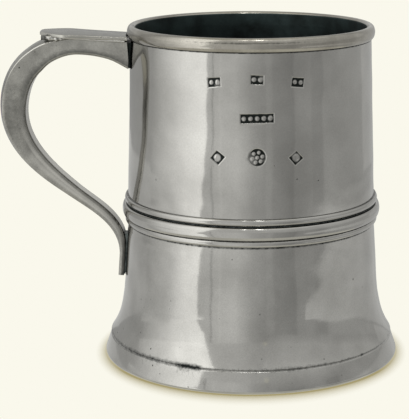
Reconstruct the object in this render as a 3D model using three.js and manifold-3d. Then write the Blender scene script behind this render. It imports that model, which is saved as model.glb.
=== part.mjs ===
// A pewter pint tankard: two cast drums lapped under a girdle, a lip, a moulded foot, a let-in base
// and a scrolled strap handle with a thumb rest. Millimetres, +Z up, standing on z = 0.
import * as THREE from 'three';
import { mergeVertices } from 'three/addons/utils/BufferGeometryUtils.js';
import Module from 'manifold-3d';

const wasm = await Module();
wasm.setup();

// Heights of the body, from the surface that the foot stands on
const overallHeight = 116.5;
const jointHeight = 55.15; // where the two drums meet, in the girdle
const skirtHeight = 22.8; // where the lower drum starts to flare
const footHeight = 7.7; // seam between the skirt and the foot
const baseRise = 0.9; // from that seam up to the underside of the base

// Radii of the body
const drumTopRadius = 41.4;
const waistRadius = 43.1;
const skirtRadius = 44.6;
const flareSpread = 5.2; // how far the skirt flares out below skirtHeight
const footSpread = 2; // how far the foot stands out past the skirt

// Walls and fits
const wall = 1.7;
const baseThickness = 2;
const lapDepth = 6; // overlap of the two drums under the girdle
const fitClearance = 0.15; // between turned pieces that share the drum's axis
const solderClearance = 0.25; // between a cut joint of the handle and what it holds

// Lip moulding
const lipDepth = 5.1;
const lipProud = 1.2; // how far the lip stands out from the drum
const lipCap = 2.2; // solid top of the lip, above the drum's edge
const lipCrown = 1.1; // height of the rounding from the top to the mouth
const lipSpigotWall = 0.9; // the drum's edge, where it is stepped to fit inside the lip
const lipUndercut = 70; // degrees that the lip's face turns in below its widest line

// Girdle mouldings
const reedHeight = 2.2;
const reedProud = 1.1;
const reedEdge = 0.45; // how far a reed stands out at its top and bottom
const beadHeight = 4.3;
const beadProud = 2;
const beadEdge = 1.1;
const mouldingGap = 0.12; // dark line between the bead and the lower reed
const girdleSeam = 0.5; // height of the solder line between the upper reed and the bead
const girdleSeamProud = 0.7;

// Flare of the skirt, foot and base
const flareRun = 9.4; // how far down the skirt keeps its slope before it turns out
const flareLead = 1.1; // how far it has spread by then
const footSeam = 0.4; // height of the solder line between the skirt and the foot
const footSeamInset = 0.4; // how far that line lies behind the skirt's face
const footShoulder = 0.2; // step from the skirt to the top of the foot
const footRound = 1.3; // rounding of the foot's lower edge
const footTread = 3; // width of the ring that the tankard stands on
const collarWidth = 2; // the foot's collar, which carries the base
const filletSize = 1.2; // solder run under the base

// Back line of the handle, from the drum's wall at the upper joint
const armDrop = 0.35; // from the lip's seat down to the top of the arm
const crestRun = 17; // out to where the arm starts to turn down
const handleReach = 45.6; // out to the back of the handle
const backHeight = 87.35; // height of that outermost point
const heelHeight = 36; // where the strap starts to lie along the skirt
const tabHeight = 28; // lower end of the strap
const neckRun = 17.4; // from the heel out to the middle of the straight stretch
const neckRise = 20;
const neckSlope = 34.2; // degrees of the straight stretch
const upperJoint = 1.65; // soldered gap between the arm and the drum
const lowerJoint = 0.8; // soldered gap between the tab and the skirt
const lowerJointTop = 42; // where the strap's inner face comes down onto that joint

// Fullness of the handle's bends: share of each run that leaves straight
const shoulderOut = 0.74;
const shoulderUp = 0.485;
const loopDown = 0.53;
const loopOut = 0.34;
const turnIn = 0.46;
const turnUp = 0.51;

// Widths of the strap along Y
const rootWidth = 15.8;
const crestWidth = 14.5;
const shoulderWidth = 13.2;
const backWidth = 12.8;
const neckWidth = 11;
const tabWidth = 9.8;

// Depths of the strap in the handle's plane
const rootDepth = 9.5;
const armDepth = 6.55;
const crestDepth = 5.6;
const shoulderDepth = 8.9;
const backDepth = 8.7;
const neckDepth = 4.25;
const heelDepth = 3.2; // where its inner face comes down onto the skirt
const tabDepth = 1.6;

// Edges of the strap
const strapEdge = 1; // rounding of its inner edges
const edgeShare = 0.33; // most of a thin strap's depth that the rounding takes
const backCrown = 1.3; // how far its back is domed at the shoulder and the outermost point
const neckCrown = 0.6;
const flatCrown = 0.1; // where it lies against the thumb rest or the skirt

// Thumb rest
const thumbLength = 29.3;
const thumbRootWidth = 16.4;
const thumbWidth = 21;
const thumbSwell = 9.5; // from the free end to the widest place
const thumbNose = 8; // width of the free end's blunt tip
const thumbEdge = 0.9; // thickness of the plate at its rim
const thumbCrown = 1; // how far its top is domed at the widest place
const thumbTilt = 3.2; // degrees that the free end rises

// Fineness of the faceted surfaces
const turnSegments = 56;
const arcSteps = 6;
const sectionSteps = 4;
const strapSteps = [6, 14, 12, 10, 2];
const weldDistance = 1e-4;
const cutterDepth = 12; // how far a cutter reaches in behind the wall that it follows

const pewter = { color: 0x94938f, roughness: 0.32, metalness: 1 };
const castPewter = { color: 0x84857f, roughness: 0.42, metalness: 1 };
const darkSolder = { color: 0x2e3534, roughness: 0.7, metalness: 0.6 };

const degrees = THREE.MathUtils.degToRad;
const point = (radius, height) => new THREE.Vector2(radius, height);

// Places that several pieces share
const lipSeat = overallHeight - lipDepth;
const lipSpigotTop = overallHeight - lipCap - fitClearance;
const mouthRadius = drumTopRadius - wall;
const lipSpigotRadius = mouthRadius + lipSpigotWall;
const lapRadius = waistRadius - wall / 2;
const waistBore = waistRadius - wall;
const girdleTop = jointHeight + girdleSeam / 2 + reedHeight;
const beadTop = jointHeight - girdleSeam / 2;
const girdleBottom = beadTop - beadHeight - mouldingGap - reedHeight;
const flareRadius = skirtRadius + flareSpread;
const footRadius = flareRadius + footSpread;
const skirtBottom = footHeight + footSeam / 2;
const footTop = footHeight - footSeam / 2;
const baseHeight = footHeight + baseRise;
const armTop = lipSeat - armDrop;
const armRadius = upperRadiusAt(armTop);

// Outside of the skirt below skirtHeight
const flare = new THREE.QuadraticBezierCurve(
  point(skirtRadius, skirtHeight),
  point(skirtRadius + flareLead, skirtHeight - flareRun),
  point(flareRadius, skirtBottom),
);
const collarRadius = lowerRadiusAt(baseHeight) - wall - fitClearance;

// The turned outside of each drum at a height, for everything that seats against it
function upperRadiusAt(height) {
  const share = (height - girdleTop) / (lipSeat - girdleTop);
  return THREE.MathUtils.lerp(waistRadius, drumTopRadius, THREE.MathUtils.clamp(share, 0, 1));
}

function lowerRadiusAt(height) {
  if (height >= skirtHeight) {
    const share = (girdleBottom - height) / (girdleBottom - skirtHeight);
    return THREE.MathUtils.lerp(waistRadius, skirtRadius, THREE.MathUtils.clamp(share, 0, 1));
  }
  const bend = flare.v0.y - 2 * flare.v1.y + flare.v2.y;
  const fall = skirtHeight - height;
  const along = fall / (flareRun + Math.sqrt(flareRun * flareRun - bend * fall));
  return flare.getPoint(along).x;
}

// An outline turned about the drum's axis, closed on itself unless it starts and ends on the axis
function turned(outline) {
  const profile = outline[0].x > 0 ? [...outline, outline[0]] : [...outline];
  if (THREE.ShapeUtils.area(outline) < 0) profile.reverse();
  return new THREE.LatheGeometry(profile, turnSegments).rotateX(Math.PI / 2);
}

function arc(centre, width, height, from, to) {
  const [start, end] = [degrees(from), degrees(to)];
  return new THREE.EllipseCurve(centre.x, centre.y, width, height, start, end, to < from).getPoints(arcSteps);
}

function toSolid(geometry) {
  const bare = geometry.clone();
  bare.deleteAttribute('normal');
  bare.deleteAttribute('uv');
  const welded = mergeVertices(bare, weldDistance);
  const vertProperties = Float32Array.from(welded.attributes.position.array);
  const triVerts = Uint32Array.from(welded.index.array);
  return new wasm.Manifold(new wasm.Mesh({ numProp: 3, vertProperties, triVerts }));
}

function toGeometry(solid) {
  const { vertProperties, triVerts } = solid.getMesh();
  const geometry = new THREE.BufferGeometry();
  geometry.setAttribute('position', new THREE.BufferAttribute(vertProperties, 3));
  geometry.setIndex(new THREE.BufferAttribute(triVerts, 1));
  geometry.computeVertexNormals();
  return geometry;
}

function heightsBetween(low, high) {
  return Array.from({ length: arcSteps + 1 }, (_, i) => THREE.MathUtils.lerp(low, high, i / arcSteps));
}

// A ring that follows a drum's outside up a list of heights, from one distance off its wall to another
function drumRing(radiusAt, from, to, heights) {
  const face = (offset) => heights.map((height) => point(radiusAt(height) + offset, height));
  return turned([...face(to), ...face(from).reverse()]);
}

function cutAway(geometry, cutter) {
  return toGeometry(toSolid(geometry).subtract(toSolid(cutter)));
}

// Cut the handle's pieces to each drum's curve, a soldered gap away from it
function cutToUpperDrum(geometry) {
  const heights = [girdleTop, lipSeat, overallHeight + cutterDepth];
  return cutAway(geometry, drumRing(upperRadiusAt, -cutterDepth, upperJoint, heights));
}

function cutToLowerDrum(geometry) {
  const heights = heightsBetween(tabHeight - strapEdge, girdleBottom);
  return cutAway(geometry, drumRing(lowerRadiusAt, -cutterDepth, lowerJoint, heights));
}

// The solder in a joint between a drum and the handle
function solderJoint(radiusAt, joint, width, low, high) {
  const reach = radiusAt(low) + joint;
  const block = new THREE.BoxGeometry(reach, width, high - low);
  block.translate(-reach / 2 - joint, 0, (low + high) / 2);
  const ring = drumRing(radiusAt, solderClearance, joint - solderClearance, heightsBetween(low, high));
  return toGeometry(toSolid(block).intersect(toSolid(ring)));
}

function lipRing() {
  const halfWidth = (drumTopRadius + lipProud - mouthRadius) / 2;
  const ridge = mouthRadius + halfWidth;
  const socket = lipSpigotRadius + fitClearance;
  const cap = lipDepth - lipCap;
  return turned([
    point(socket, cap),
    point(socket, fitClearance),
    ...arc(point(ridge, lipDepth / 2), halfWidth, lipDepth / 2, -lipUndercut, 90),
    ...arc(point(ridge, lipDepth - lipCrown), halfWidth, lipCrown, 90, 180).slice(1),
    point(mouthRadius, cap),
  ]);
}

function upperDrum() {
  const shoulder = jointHeight + girdleSeam / 2;
  const lapBottom = jointHeight - lapDepth;
  return turned([
    point(lapRadius, lapBottom),
    point(lapRadius, shoulder),
    point(waistRadius, shoulder),
    point(waistRadius, girdleTop),
    point(drumTopRadius, lipSeat),
    point(lipSpigotRadius, lipSeat),
    point(lipSpigotRadius, lipSpigotTop),
    point(mouthRadius, lipSpigotTop),
    point(waistBore, jointHeight),
    point(waistBore, lapBottom),
  ]);
}

// A hoop with a rounded face, slipped over the waist
function moulding(height, proud, edge) {
  const inside = waistRadius + fitClearance;
  const face = point(waistRadius + edge, height / 2);
  return turned([
    point(inside, 0),
    ...arc(face, proud - edge, height / 2, -90, 90),
    point(inside, height),
  ]);
}

function girdleSolderSeam() {
  const inside = lapRadius + fitClearance;
  const outside = waistRadius + girdleSeamProud;
  const height = girdleSeam - fitClearance;
  return turned([point(inside, 0), point(outside, 0), point(outside, height), point(inside, height)]);
}

function lowerDrum() {
  const lapFloor = jointHeight - lapDepth - fitClearance;
  const socket = lapRadius + fitClearance;
  const outside = flare.getPoints(arcSteps);
  const inside = outside.map((p) => point(p.x - wall, p.y)).reverse();
  return turned([
    point(waistRadius, beadTop),
    point(waistRadius, girdleBottom),
    ...outside,
    ...inside,
    point(waistBore, Math.min(girdleBottom, lapFloor)),
    point(waistBore, lapFloor),
    point(socket, lapFloor),
    point(socket, beadTop),
  ]);
}

function footSolderSeam() {
  const outside = flareRadius - footSeamInset;
  const inside = flareRadius - wall;
  const height = footSeam - fitClearance;
  return turned([point(inside, 0), point(outside, 0), point(outside, height), point(inside, height)]);
}

function footRing() {
  const tread = footRadius - footRound;
  const seat = baseHeight - fitClearance;
  return turned([
    point(tread - footTread, 0),
    ...arc(point(tread, footRound), footRound, footRound, -90, 0),
    point(flareRadius + footShoulder, footTop),
    point(collarRadius, footTop),
    point(collarRadius, seat),
    point(collarRadius - collarWidth, seat),
  ]);
}

function baseDisc() {
  const edge = lowerRadiusAt(baseHeight + baseThickness) - wall - fitClearance;
  return turned([point(0, 0), point(edge, 0), point(edge, baseThickness), point(0, baseThickness)]);
}

function baseSolderFillet() {
  const corner = collarRadius - collarWidth - fitClearance;
  return turned([point(corner - filletSize, 0), point(corner, -filletSize), point(corner, 0)]);
}

// Back line of the strap in the XZ plane: arm, shoulder, lower loop, turn down to the skirt, tab
function strapBackLine() {
  const place = (run, height) => new THREE.Vector3(-run, 0, height);
  const climb = Math.tan(degrees(thumbTilt));
  const fall = Math.tan(degrees(neckSlope));
  const crestTop = armTop + crestRun * climb;
  const backX = armRadius + handleReach;
  const heelX = lowerRadiusAt(heelHeight) + lowerJoint + tabDepth;
  const tabX = lowerRadiusAt(tabHeight) + lowerJoint + tabDepth;
  const neckX = heelX + neckRun;
  const neckZ = heelHeight + neckRise;
  const crestX = armRadius + crestRun;
  const shoulderRun = (backX - crestX) * shoulderOut;
  const shoulderDrop = (crestTop - backHeight) * shoulderUp;
  const loopRun = (backX - neckX) * loopOut;
  const turnRun = neckRun * turnIn;
  const root = place(armRadius, armTop);
  const crest = place(crestX, crestTop);
  const back = place(backX, backHeight);
  const neck = place(neckX, neckZ);
  const heel = place(heelX, heelHeight);
  return [
    new THREE.LineCurve3(root, crest),
    new THREE.CubicBezierCurve3(
      crest,
      place(crestX + shoulderRun, crestTop + shoulderRun * climb),
      place(backX, backHeight + shoulderDrop),
      back,
    ),
    new THREE.CubicBezierCurve3(
      back,
      place(backX, backHeight - (backHeight - neckZ) * loopDown),
      place(neckX + loopRun, neckZ + loopRun * fall),
      neck,
    ),
    new THREE.CubicBezierCurve3(
      neck,
      place(neckX - turnRun, neckZ - turnRun * fall),
      place(heelX, heelHeight + neckRise * turnUp),
      heel,
    ),
    new THREE.LineCurve3(heel, place(tabX, tabHeight)),
  ];
}

// Sizes of the strap along its back line: whole numbers are where a stretch starts, shares lie between
const strapSizes = [
  { at: 0, width: rootWidth, depth: rootDepth, crown: flatCrown },
  { at: 0.4, width: rootWidth, depth: armDepth, crown: flatCrown },
  { at: 1, width: crestWidth, depth: crestDepth, crown: flatCrown },
  { at: 1.4, width: shoulderWidth, depth: shoulderDepth, crown: backCrown },
  { at: 2, width: backWidth, depth: backDepth, crown: backCrown },
  { at: 3, width: neckWidth, depth: neckDepth, crown: neckCrown },
  { at: 3.7, width: tabWidth, depth: heelDepth, crown: flatCrown },
  { at: 4, width: tabWidth, depth: tabDepth + lowerJoint, crown: flatCrown },
  { at: 5, width: tabWidth, depth: tabDepth + lowerJoint, crown: flatCrown },
];
const sizesPerRow = 3;
const sizesAlong = new THREE.CubicInterpolant(
  strapSizes.map((row) => row.at),
  strapSizes.flatMap((row) => [row.width, row.depth, row.crown]),
  sizesPerRow,
);

// Section of the strap: x across its width, y from the inner face up to the domed back at 0
function strapSection(at) {
  const [width, depth, crown] = sizesAlong.evaluate(at);
  const half = width / 2;
  const edge = Math.min(strapEdge, depth * edgeShare);
  const shape = new THREE.Shape();
  shape.moveTo(-half + edge, -depth);
  shape.lineTo(half - edge, -depth);
  shape.quadraticCurveTo(half, -depth, half, edge - depth);
  shape.lineTo(half, -crown);
  shape.quadraticCurveTo(0, crown, -half, -crown);
  shape.lineTo(-half, edge - depth);
  shape.quadraticCurveTo(-half, -depth, -half + edge, -depth);
  return shape.getPoints(sectionSteps).slice(0, -1);
}

// Rings of points joined into one closed skin
function loft(rings) {
  const count = rings[0].length;
  const positions = rings.flat().flatMap((p) => p.toArray());
  const triangles = [];
  for (let ring = 0; ring + 1 < rings.length; ring++) {
    for (let i = 0; i < count; i++) {
      const a = ring * count + i;
      const b = ring * count + (i + 1) % count;
      triangles.push(a, b, a + count, b, b + count, a + count);
    }
  }
  const last = (rings.length - 1) * count;
  for (let i = 1; i + 1 < count; i++) {
    triangles.push(0, i + 1, i, last, last + i, last + i + 1);
  }
  const geometry = new THREE.BufferGeometry();
  geometry.setAttribute('position', new THREE.Float32BufferAttribute(positions, 3));
  geometry.setIndex(triangles);
  return geometry;
}

function handleStrap() {
  const rings = [];
  strapBackLine().forEach((curve, stretch) => {
    const steps = strapSteps[stretch];
    for (let i = stretch ? 1 : 0; i <= steps; i++) {
      const along = i / steps;
      const start = curve.getPoint(along);
      const tangent = curve.getTangent(along);
      const outward = new THREE.Vector3(tangent.z, 0, -tangent.x);
      const section = strapSection(stretch + along);
      rings.push(section.map((p) => start.clone().addScaledVector(outward, p.y).setY(-p.x)));
    }
  });
  return cutToLowerDrum(cutToUpperDrum(loft(rings)));
}

// Section of the thumb rest: flat below, upright at the rim and domed on top
function thumbSection(half) {
  const crown = thumbCrown * half / (thumbWidth / 2);
  const shape = new THREE.Shape();
  shape.moveTo(-half, 0);
  shape.lineTo(half, 0);
  shape.lineTo(half, thumbEdge);
  shape.quadraticCurveTo(0, thumbEdge + 2 * crown, -half, thumbEdge);
  return shape.getPoints(sectionSteps);
}

// Spoon-shaped plate, which swells towards its free end and closes in a blunt tip
function thumbRest() {
  const end = upperJoint + thumbLength;
  const widest = end - thumbSwell;
  const [rootHalf, wideHalf, noseHalf] = [thumbRootWidth / 2, thumbWidth / 2, thumbNose / 2];
  const root = point(0, rootHalf);
  const wide = point(widest, wideHalf);
  const neck = new THREE.QuadraticBezierCurve(root, point(widest / 2, rootHalf), wide);
  const bowl = new THREE.QuadraticBezierCurve(wide, point(end, wideHalf), point(end, noseHalf));
  const outline = [...neck.getPoints(arcSteps), ...bowl.getPoints(arcSteps).slice(1)];
  const rings = outline.map((rim) => {
    return thumbSection(rim.y).map((p) => new THREE.Vector3(-rim.x, -p.x, p.y));
  });
  const plate = loft(rings);
  plate.rotateY(degrees(thumbTilt));
  plate.translate(-armRadius, 0, armTop + solderClearance);
  return cutToUpperDrum(plate);
}

function upperHandleSolder() {
  const low = armTop - rootDepth;
  return solderJoint(upperRadiusAt, upperJoint, rootWidth - strapEdge, low, lipSeat - solderClearance);
}

function lowerHandleSolder() {
  return solderJoint(lowerRadiusAt, lowerJoint, tabWidth - strapEdge, tabHeight, lowerJointTop);
}

function piece(name, geometry, finish, height = 0) {
  const mesh = new THREE.Mesh(geometry, new THREE.MeshStandardMaterial(finish));
  mesh.name = name;
  mesh.position.z = height;
  return mesh;
}

const body = new THREE.Group();
body.add(
  piece('lip_ring', lipRing(), pewter, lipSeat),
  piece('upper_drum', upperDrum(), pewter),
  piece('girdle_upper_reed', moulding(reedHeight, reedProud, reedEdge), pewter, girdleTop - reedHeight),
  piece('girdle_solder_seam', girdleSolderSeam(), darkSolder, beadTop + fitClearance / 2),
  piece('girdle_bead', moulding(beadHeight, beadProud, beadEdge), pewter, beadTop - beadHeight),
  piece('girdle_lower_reed', moulding(reedHeight, reedProud, reedEdge), pewter, girdleBottom),
  piece('lower_drum', lowerDrum(), pewter),
  piece('foot_solder_seam', footSolderSeam(), darkSolder, footTop + fitClearance / 2),
  piece('foot_ring', footRing(), pewter),
  piece('base_disc', baseDisc(), pewter, baseHeight),
  piece('base_solder_fillet', baseSolderFillet(), darkSolder, baseHeight - fitClearance / 2),
);

const handle = new THREE.Group();
handle.add(
  piece('handle_strap', handleStrap(), castPewter),
  piece('thumb_rest', thumbRest(), castPewter),
  piece('upper_handle_solder', upperHandleSolder(), darkSolder),
  piece('lower_handle_solder', lowerHandleSolder(), darkSolder),
);

// The drum's axis stands beside the origin, so that the origin is under the middle of the whole part
const tankard = new THREE.Group();
tankard.add(body, handle);
tankard.position.x = (armRadius + handleReach - footRadius) / 2;

export default tankard;
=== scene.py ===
"""A pewter pint tankard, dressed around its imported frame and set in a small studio. Metres, +Z up."""
import math
from typing import NamedTuple

import bmesh
import bpy
from mathutils import Color, Matrix, Vector, noise
from mathutils.geometry import interpolate_bezier


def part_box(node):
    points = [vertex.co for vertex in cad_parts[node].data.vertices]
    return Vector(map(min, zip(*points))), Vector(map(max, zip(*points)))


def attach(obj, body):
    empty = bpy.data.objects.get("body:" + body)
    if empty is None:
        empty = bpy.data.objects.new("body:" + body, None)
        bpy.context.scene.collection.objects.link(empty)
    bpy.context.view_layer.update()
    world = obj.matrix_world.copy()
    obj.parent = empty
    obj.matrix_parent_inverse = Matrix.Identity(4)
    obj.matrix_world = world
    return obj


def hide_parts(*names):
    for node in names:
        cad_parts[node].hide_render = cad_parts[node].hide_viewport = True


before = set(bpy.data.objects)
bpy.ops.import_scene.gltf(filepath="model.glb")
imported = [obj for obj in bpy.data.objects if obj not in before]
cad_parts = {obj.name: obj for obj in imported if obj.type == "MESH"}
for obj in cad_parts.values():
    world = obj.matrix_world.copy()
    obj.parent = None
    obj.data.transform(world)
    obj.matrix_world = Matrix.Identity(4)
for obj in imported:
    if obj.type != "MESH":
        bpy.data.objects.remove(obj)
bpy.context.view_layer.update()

bl_info = {
    "name": "Pewter Tankard",
    "version": (1, 0, 0),
    "blender": (4, 5, 0),
    "location": "3D View > Sidebar > Tankard",
    "description": "Dresses a packed pewter pint tankard and sets it in a small studio",
    "category": "Object",
}

MM = 0.001
BODY = "root"

# How far below its place in the frame the girdle is drawn
GIRDLE_DROP = 0.3 * MM


def drop(node):
    """How far below its place in the frame a node is drawn."""
    return GIRDLE_DROP if node.startswith("girdle") else 0


def low(node):
    """Height of a node's underside."""
    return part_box(node)[0].z - drop(node)


def high(node):
    """Height of a node's top."""
    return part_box(node)[1].z - drop(node)


def widest(node):
    """Greatest radius of a node that is round about the drum's axis."""
    lowest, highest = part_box(node)
    return (highest.x - lowest.x) / 2


# The drum's axis and the heights and radii that the frame gives
AXIS_X = sum(corner.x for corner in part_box("lip_ring")) / 2
LIP_SEAT = low("lip_ring")
LIP_TOP = high("lip_ring")
LIP_RADIUS = widest("lip_ring")
WAIST_RADIUS = widest("upper_drum")
GIRDLE_TOP = high("girdle_upper_reed")
GIRDLE_SEAM_LOW = low("girdle_solder_seam")
GIRDLE_SEAM_HIGH = high("girdle_solder_seam")
GIRDLE_LINE = low("girdle_bead")
GIRDLE_BOTTOM = low("girdle_lower_reed")
FLARE_RADIUS = widest("lower_drum")
SKIRT_BOTTOM = low("lower_drum")
FOOT_RADIUS = widest("foot_ring")
FOOT_TOP = low("foot_solder_seam")
FLOOR_LOW = low("base_disc")
FLOOR_HIGH = high("base_disc")
BASE_RADIUS = widest("base_disc")

# Fineness of the meshes. A wall has fine steps in a band at its two ends, and its inside needs fewer steps
TURN_STEPS = 264
FINE_STEP = 0.14 * MM
COARSE_STEP = 1.0 * MM
FINE_BAND = 1.8 * MM
INSIDE_SKIP = 4
ARC_STEPS = 16
FLARE_STEPS = 56
MERGE_DISTANCE = 0.002 * MM
SHARP_ANGLE = math.radians(42)

# Rings of solder: depth behind their face, swell of the girdle's, inset and sink of the foot's
SEAM_DEPTH = 0.6 * MM
SEAM_SWELL = 0.3 * MM
SEAM_INSET = 0.12 * MM
SEAM_SINK = 0.3 * MM

# How squarely a face must look at the drum's axis to count as inside, on the lip and on the walls
LIP_INWARD = 0.86
WALL_INWARD = 0.5

# Dark oxide that polishing leaves in the lines round the body: its reach under the lip, above the girdle,
# on each side of the girdle's bead and below the girdle, and its darkness there and on the girdle's solder
LIP_GROOVE = 0.3 * MM
REED_GROOVE = 0.36 * MM
BEAD_GROOVE = 0.57 * MM
LOW_GROOVE = 0.6 * MM
LINE_DARKNESS = 0.72
SOLDER_DARKNESS = 0.42

# How sharply such a line ends, and how many times its reach away it is gone
LINE_SHARPNESS = 4
LINE_END = 2

# Share of the drums' finer dents, and how many times closer together they are
DENT_FINE = 0.42
DENT_FINER = 2.3

# Grain of the metal's skin, least and greatest radius of a pit, and its depth, in millimetres
GRAIN_MM = 0.5
SMALL_PIT = 0.15
LARGE_PIT = 0.45
PIT_DEPTH = 0.06

# Pits: darkness at the bottom, and how wide that bottom is as a share of the pit
PIT_DARKNESS = 0.85
PIT_BOTTOM = 0.3

# Least and greatest noise that shows as clouds in the polish and as grain, and the roughness that dirt and
# painted shade add
CLOUD_LEAST = 0.35
CLOUD_MOST = 0.7
GRAIN_LEAST = 0.3
GRAIN_MOST = 0.7
DIRT_AND_SHADE_ROUGHNESS = 0.35

# Detail of the noise in the clouds, in the ripples and in the grain and flecks
CLOUD_DETAIL = 4
RIPPLE_DETAIL = 2
GRAIN_DETAIL = 3

# Size of the flecks into which thin oxide and thin painted shade break up, in millimetres, and how fast they
# turn black
FLECK_MM = 1.1
FILM_GAIN = 2


def linear(hex_colour):
    """Linear RGB of an sRGB hex colour such as #9a9892."""
    channels = bytes.fromhex(hex_colour.lstrip("#"))
    return tuple(Color([channel / 255 for channel in channels]).from_srgb_to_scene_linear())


def length(name, description, millimetres):
    """A property that holds a length, given in millimetres."""
    return bpy.props.FloatProperty(
        name=name, description=description, default=millimetres * MM, unit="LENGTH", precision=5)


def colour(name, description, hex_colour):
    """A property that holds a colour."""
    return bpy.props.FloatVectorProperty(
        name=name, description=description, default=linear(hex_colour), subtype="COLOR", min=0, max=1)


def angle(name, description, degrees):
    """A property that holds an angle, given in degrees."""
    return bpy.props.FloatProperty(
        name=name, description=description, default=math.radians(degrees), subtype="ANGLE")


def share(name, description, default):
    """A property that holds a share of a whole."""
    return bpy.props.FloatProperty(name=name, description=description, default=default, subtype="FACTOR")


class BodySizes(bpy.types.PropertyGroup):
    """Sizes of the turned body that the frame's boxes don't give."""
    wall: length("Wall", "Thickness of the two drums", 1.7)
    top_radius: length("Top radius", "Outside of the upper drum under the lip", 41.4)
    skirt_radius: length("Skirt radius", "Outside of the lower drum where it starts to flare", 44.95)
    skirt_height: length("Skirt height", "Height at which the lower drum starts to flare", 22.8)
    flare_run: length("Flare run", "How far down the skirt keeps its slope before it turns out", 9.4)
    flare_lead: length("Flare lead", "How far the skirt has spread by then", 1.1)
    lip_drop: length("Lip drop", "How far the lip is rubbed down from its full height", 0.2)
    lip_crown: length("Lip crown", "Height of the rounding from the lip's top to the mouth", 1.1)
    lip_undercut: angle("Lip undercut", "How far the lip's face turns in below its widest line", 70)
    reed_edge: length("Reed edge", "How far a reed stands out at its top and bottom", 0.45)
    bead_edge: length("Bead edge", "How far the bead stands out at its top and bottom", 1.1)
    skirt_edge: length("Skirt edge", "Rounding of the skirt's lower edge", 0.15)
    skirt_lean: angle("Skirt lean", "How far the skirt's face still leans out at that edge", 35)
    foot_round: length("Foot rounding", "Rounding of the foot's lower edge", 1.3)
    foot_shoulder: length("Foot shoulder", "Step from the skirt to the top of the foot", 0.2)
    foot_tread: length("Foot tread", "Width of the ring that the tankard stands on", 3)
    foot_edge: length("Foot edge", "Rounding of the foot's upper edge", 1)
    collar_width: length("Collar width", "Width of the foot's collar under the base", 2)
    dent_depth: length("Dents", "Depth of the drums' slight unevenness", 0.22)
    dent_length: length("Dent length", "Distance round the drum from dent to dent", 30)
    dent_height: length("Dent height", "Distance up the drum from dent to dent", 19)
    dent_fade: length("Dent fade", "How near a moulding the drums run true", 4)
    stamp_depth: length("Stamp depth", "How deep the marks are struck into the upper drum", 0.26)


class HandleSizes(bpy.types.PropertyGroup):
    """Sizes of the strap handle, of its thumb rest and of their soldered joints."""
    arm_drop: length("Arm drop", "From the lip's seat down to the top of the arm", 0.5)
    crest_run: length("Crest run", "Out to where the arm starts to turn down", 17)
    reach: length("Reach", "From the drum out to the back of the handle", 45.6)
    back_height: length("Back height", "Height of the handle's outermost point", 87.35)
    heel_height: length("Heel height", "Where the strap starts to lie along the skirt", 36)
    tab_height: length("Tab height", "Lower end of the strap", 28)
    neck_run: length("Neck run", "From the heel out to the middle of the straight stretch", 17.4)
    neck_rise: length("Neck rise", "From the heel up to the middle of the straight stretch", 20)
    neck_slope: angle("Neck slope", "Slope of the straight stretch", 34.2)
    climb: angle("Climb", "Angle at which the arm rises", 3.2)
    thumb_climb: angle("Thumb rest climb", "Angle at which the thumb rest rises", 2.9)
    upper_joint: length("Upper joint", "Soldered gap between the top of the arm and the drum", 1.5)
    upper_joint_low: length("Upper joint below", "That gap at the bottom of the arm", 0.6)
    lower_joint: length("Lower joint", "Soldered gap between the tab and the skirt", 0.5)
    shoulder_out: share("Shoulder out", "Fullness of the shoulder as it leaves the arm", 0.74)
    shoulder_up: share("Shoulder up", "Fullness of the shoulder above the back", 0.485)
    loop_down: share("Loop down", "Fullness of the loop below the back", 0.53)
    loop_out: share("Loop out", "Fullness of the loop above the neck", 0.34)
    turn_in: share("Turn in", "Fullness of the turn below the neck", 0.46)
    turn_up: share("Turn up", "Fullness of the turn above the heel", 0.51)
    inner_edge: length("Inner edge", "Rounding of the strap's inner edges", 1)
    back_edge: length("Back edge", "Rounding between the strap's back and its sides", 0.45)
    thumb_length: length("Thumb rest length", "From the upper joint to the free end", 29.3)
    thumb_rim: length("Thumb rest rim", "Thickness of the plate at its rim", 1.15)
    thumb_crown: length("Thumb rest crown", "How far the plate is domed at its widest", 0.6)
    thumb_root: length("Thumb rest root", "Width of the plate at the drum", 16.4)
    thumb_width: length("Thumb rest width", "Width of the plate at its widest", 21)
    thumb_swell: length("Thumb rest swell", "From the free end to the widest place", 9.5)
    thumb_nose: length("Thumb rest nose", "Width of the free end's blunt tip", 8)
    thumb_point: share("Thumb rest point", "How soon the plate narrows past its widest place", 0.3)
    thumb_edge: length("Thumb rest edge", "Rounding of the plate's rim", 0.3)
    tab_depth: length("Tab depth", "Thickness of the strap where it lies on the skirt", 1.9)
    solder_swell: length("Solder swell", "How far out the solder under the thumb rest turns lumpy", 21.5)
    solder_end: length("Solder end", "How far out the solder under the thumb rest ends", 29.9)
    # Where the painted shade at the end of the solder under the free end begins
    solder_shade_start: length("Solder stain", "How far out that solder is still rubbed bright", 27.6)
    solder_thin: length("Thin solder", "Radius of the solder along the arm", 0.42)
    solder_thick: length("Thick solder", "Radius of the solder under the free end", 0.8)
    upper_recess: length("Upper recess", "How far the upper joint's solder stands back at its sides", 2.8)
    upper_gap_top: length("Upper gap", "How far the upper joint's solder stops short at its top", 0.9)
    lower_recess: length("Lower recess", "How far the lower joint's solder stands back at its sides", 1.9)
    lower_fillet: length("Lower fillet", "How far the lower joint's solder runs on up the strap", 0.6)


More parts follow.
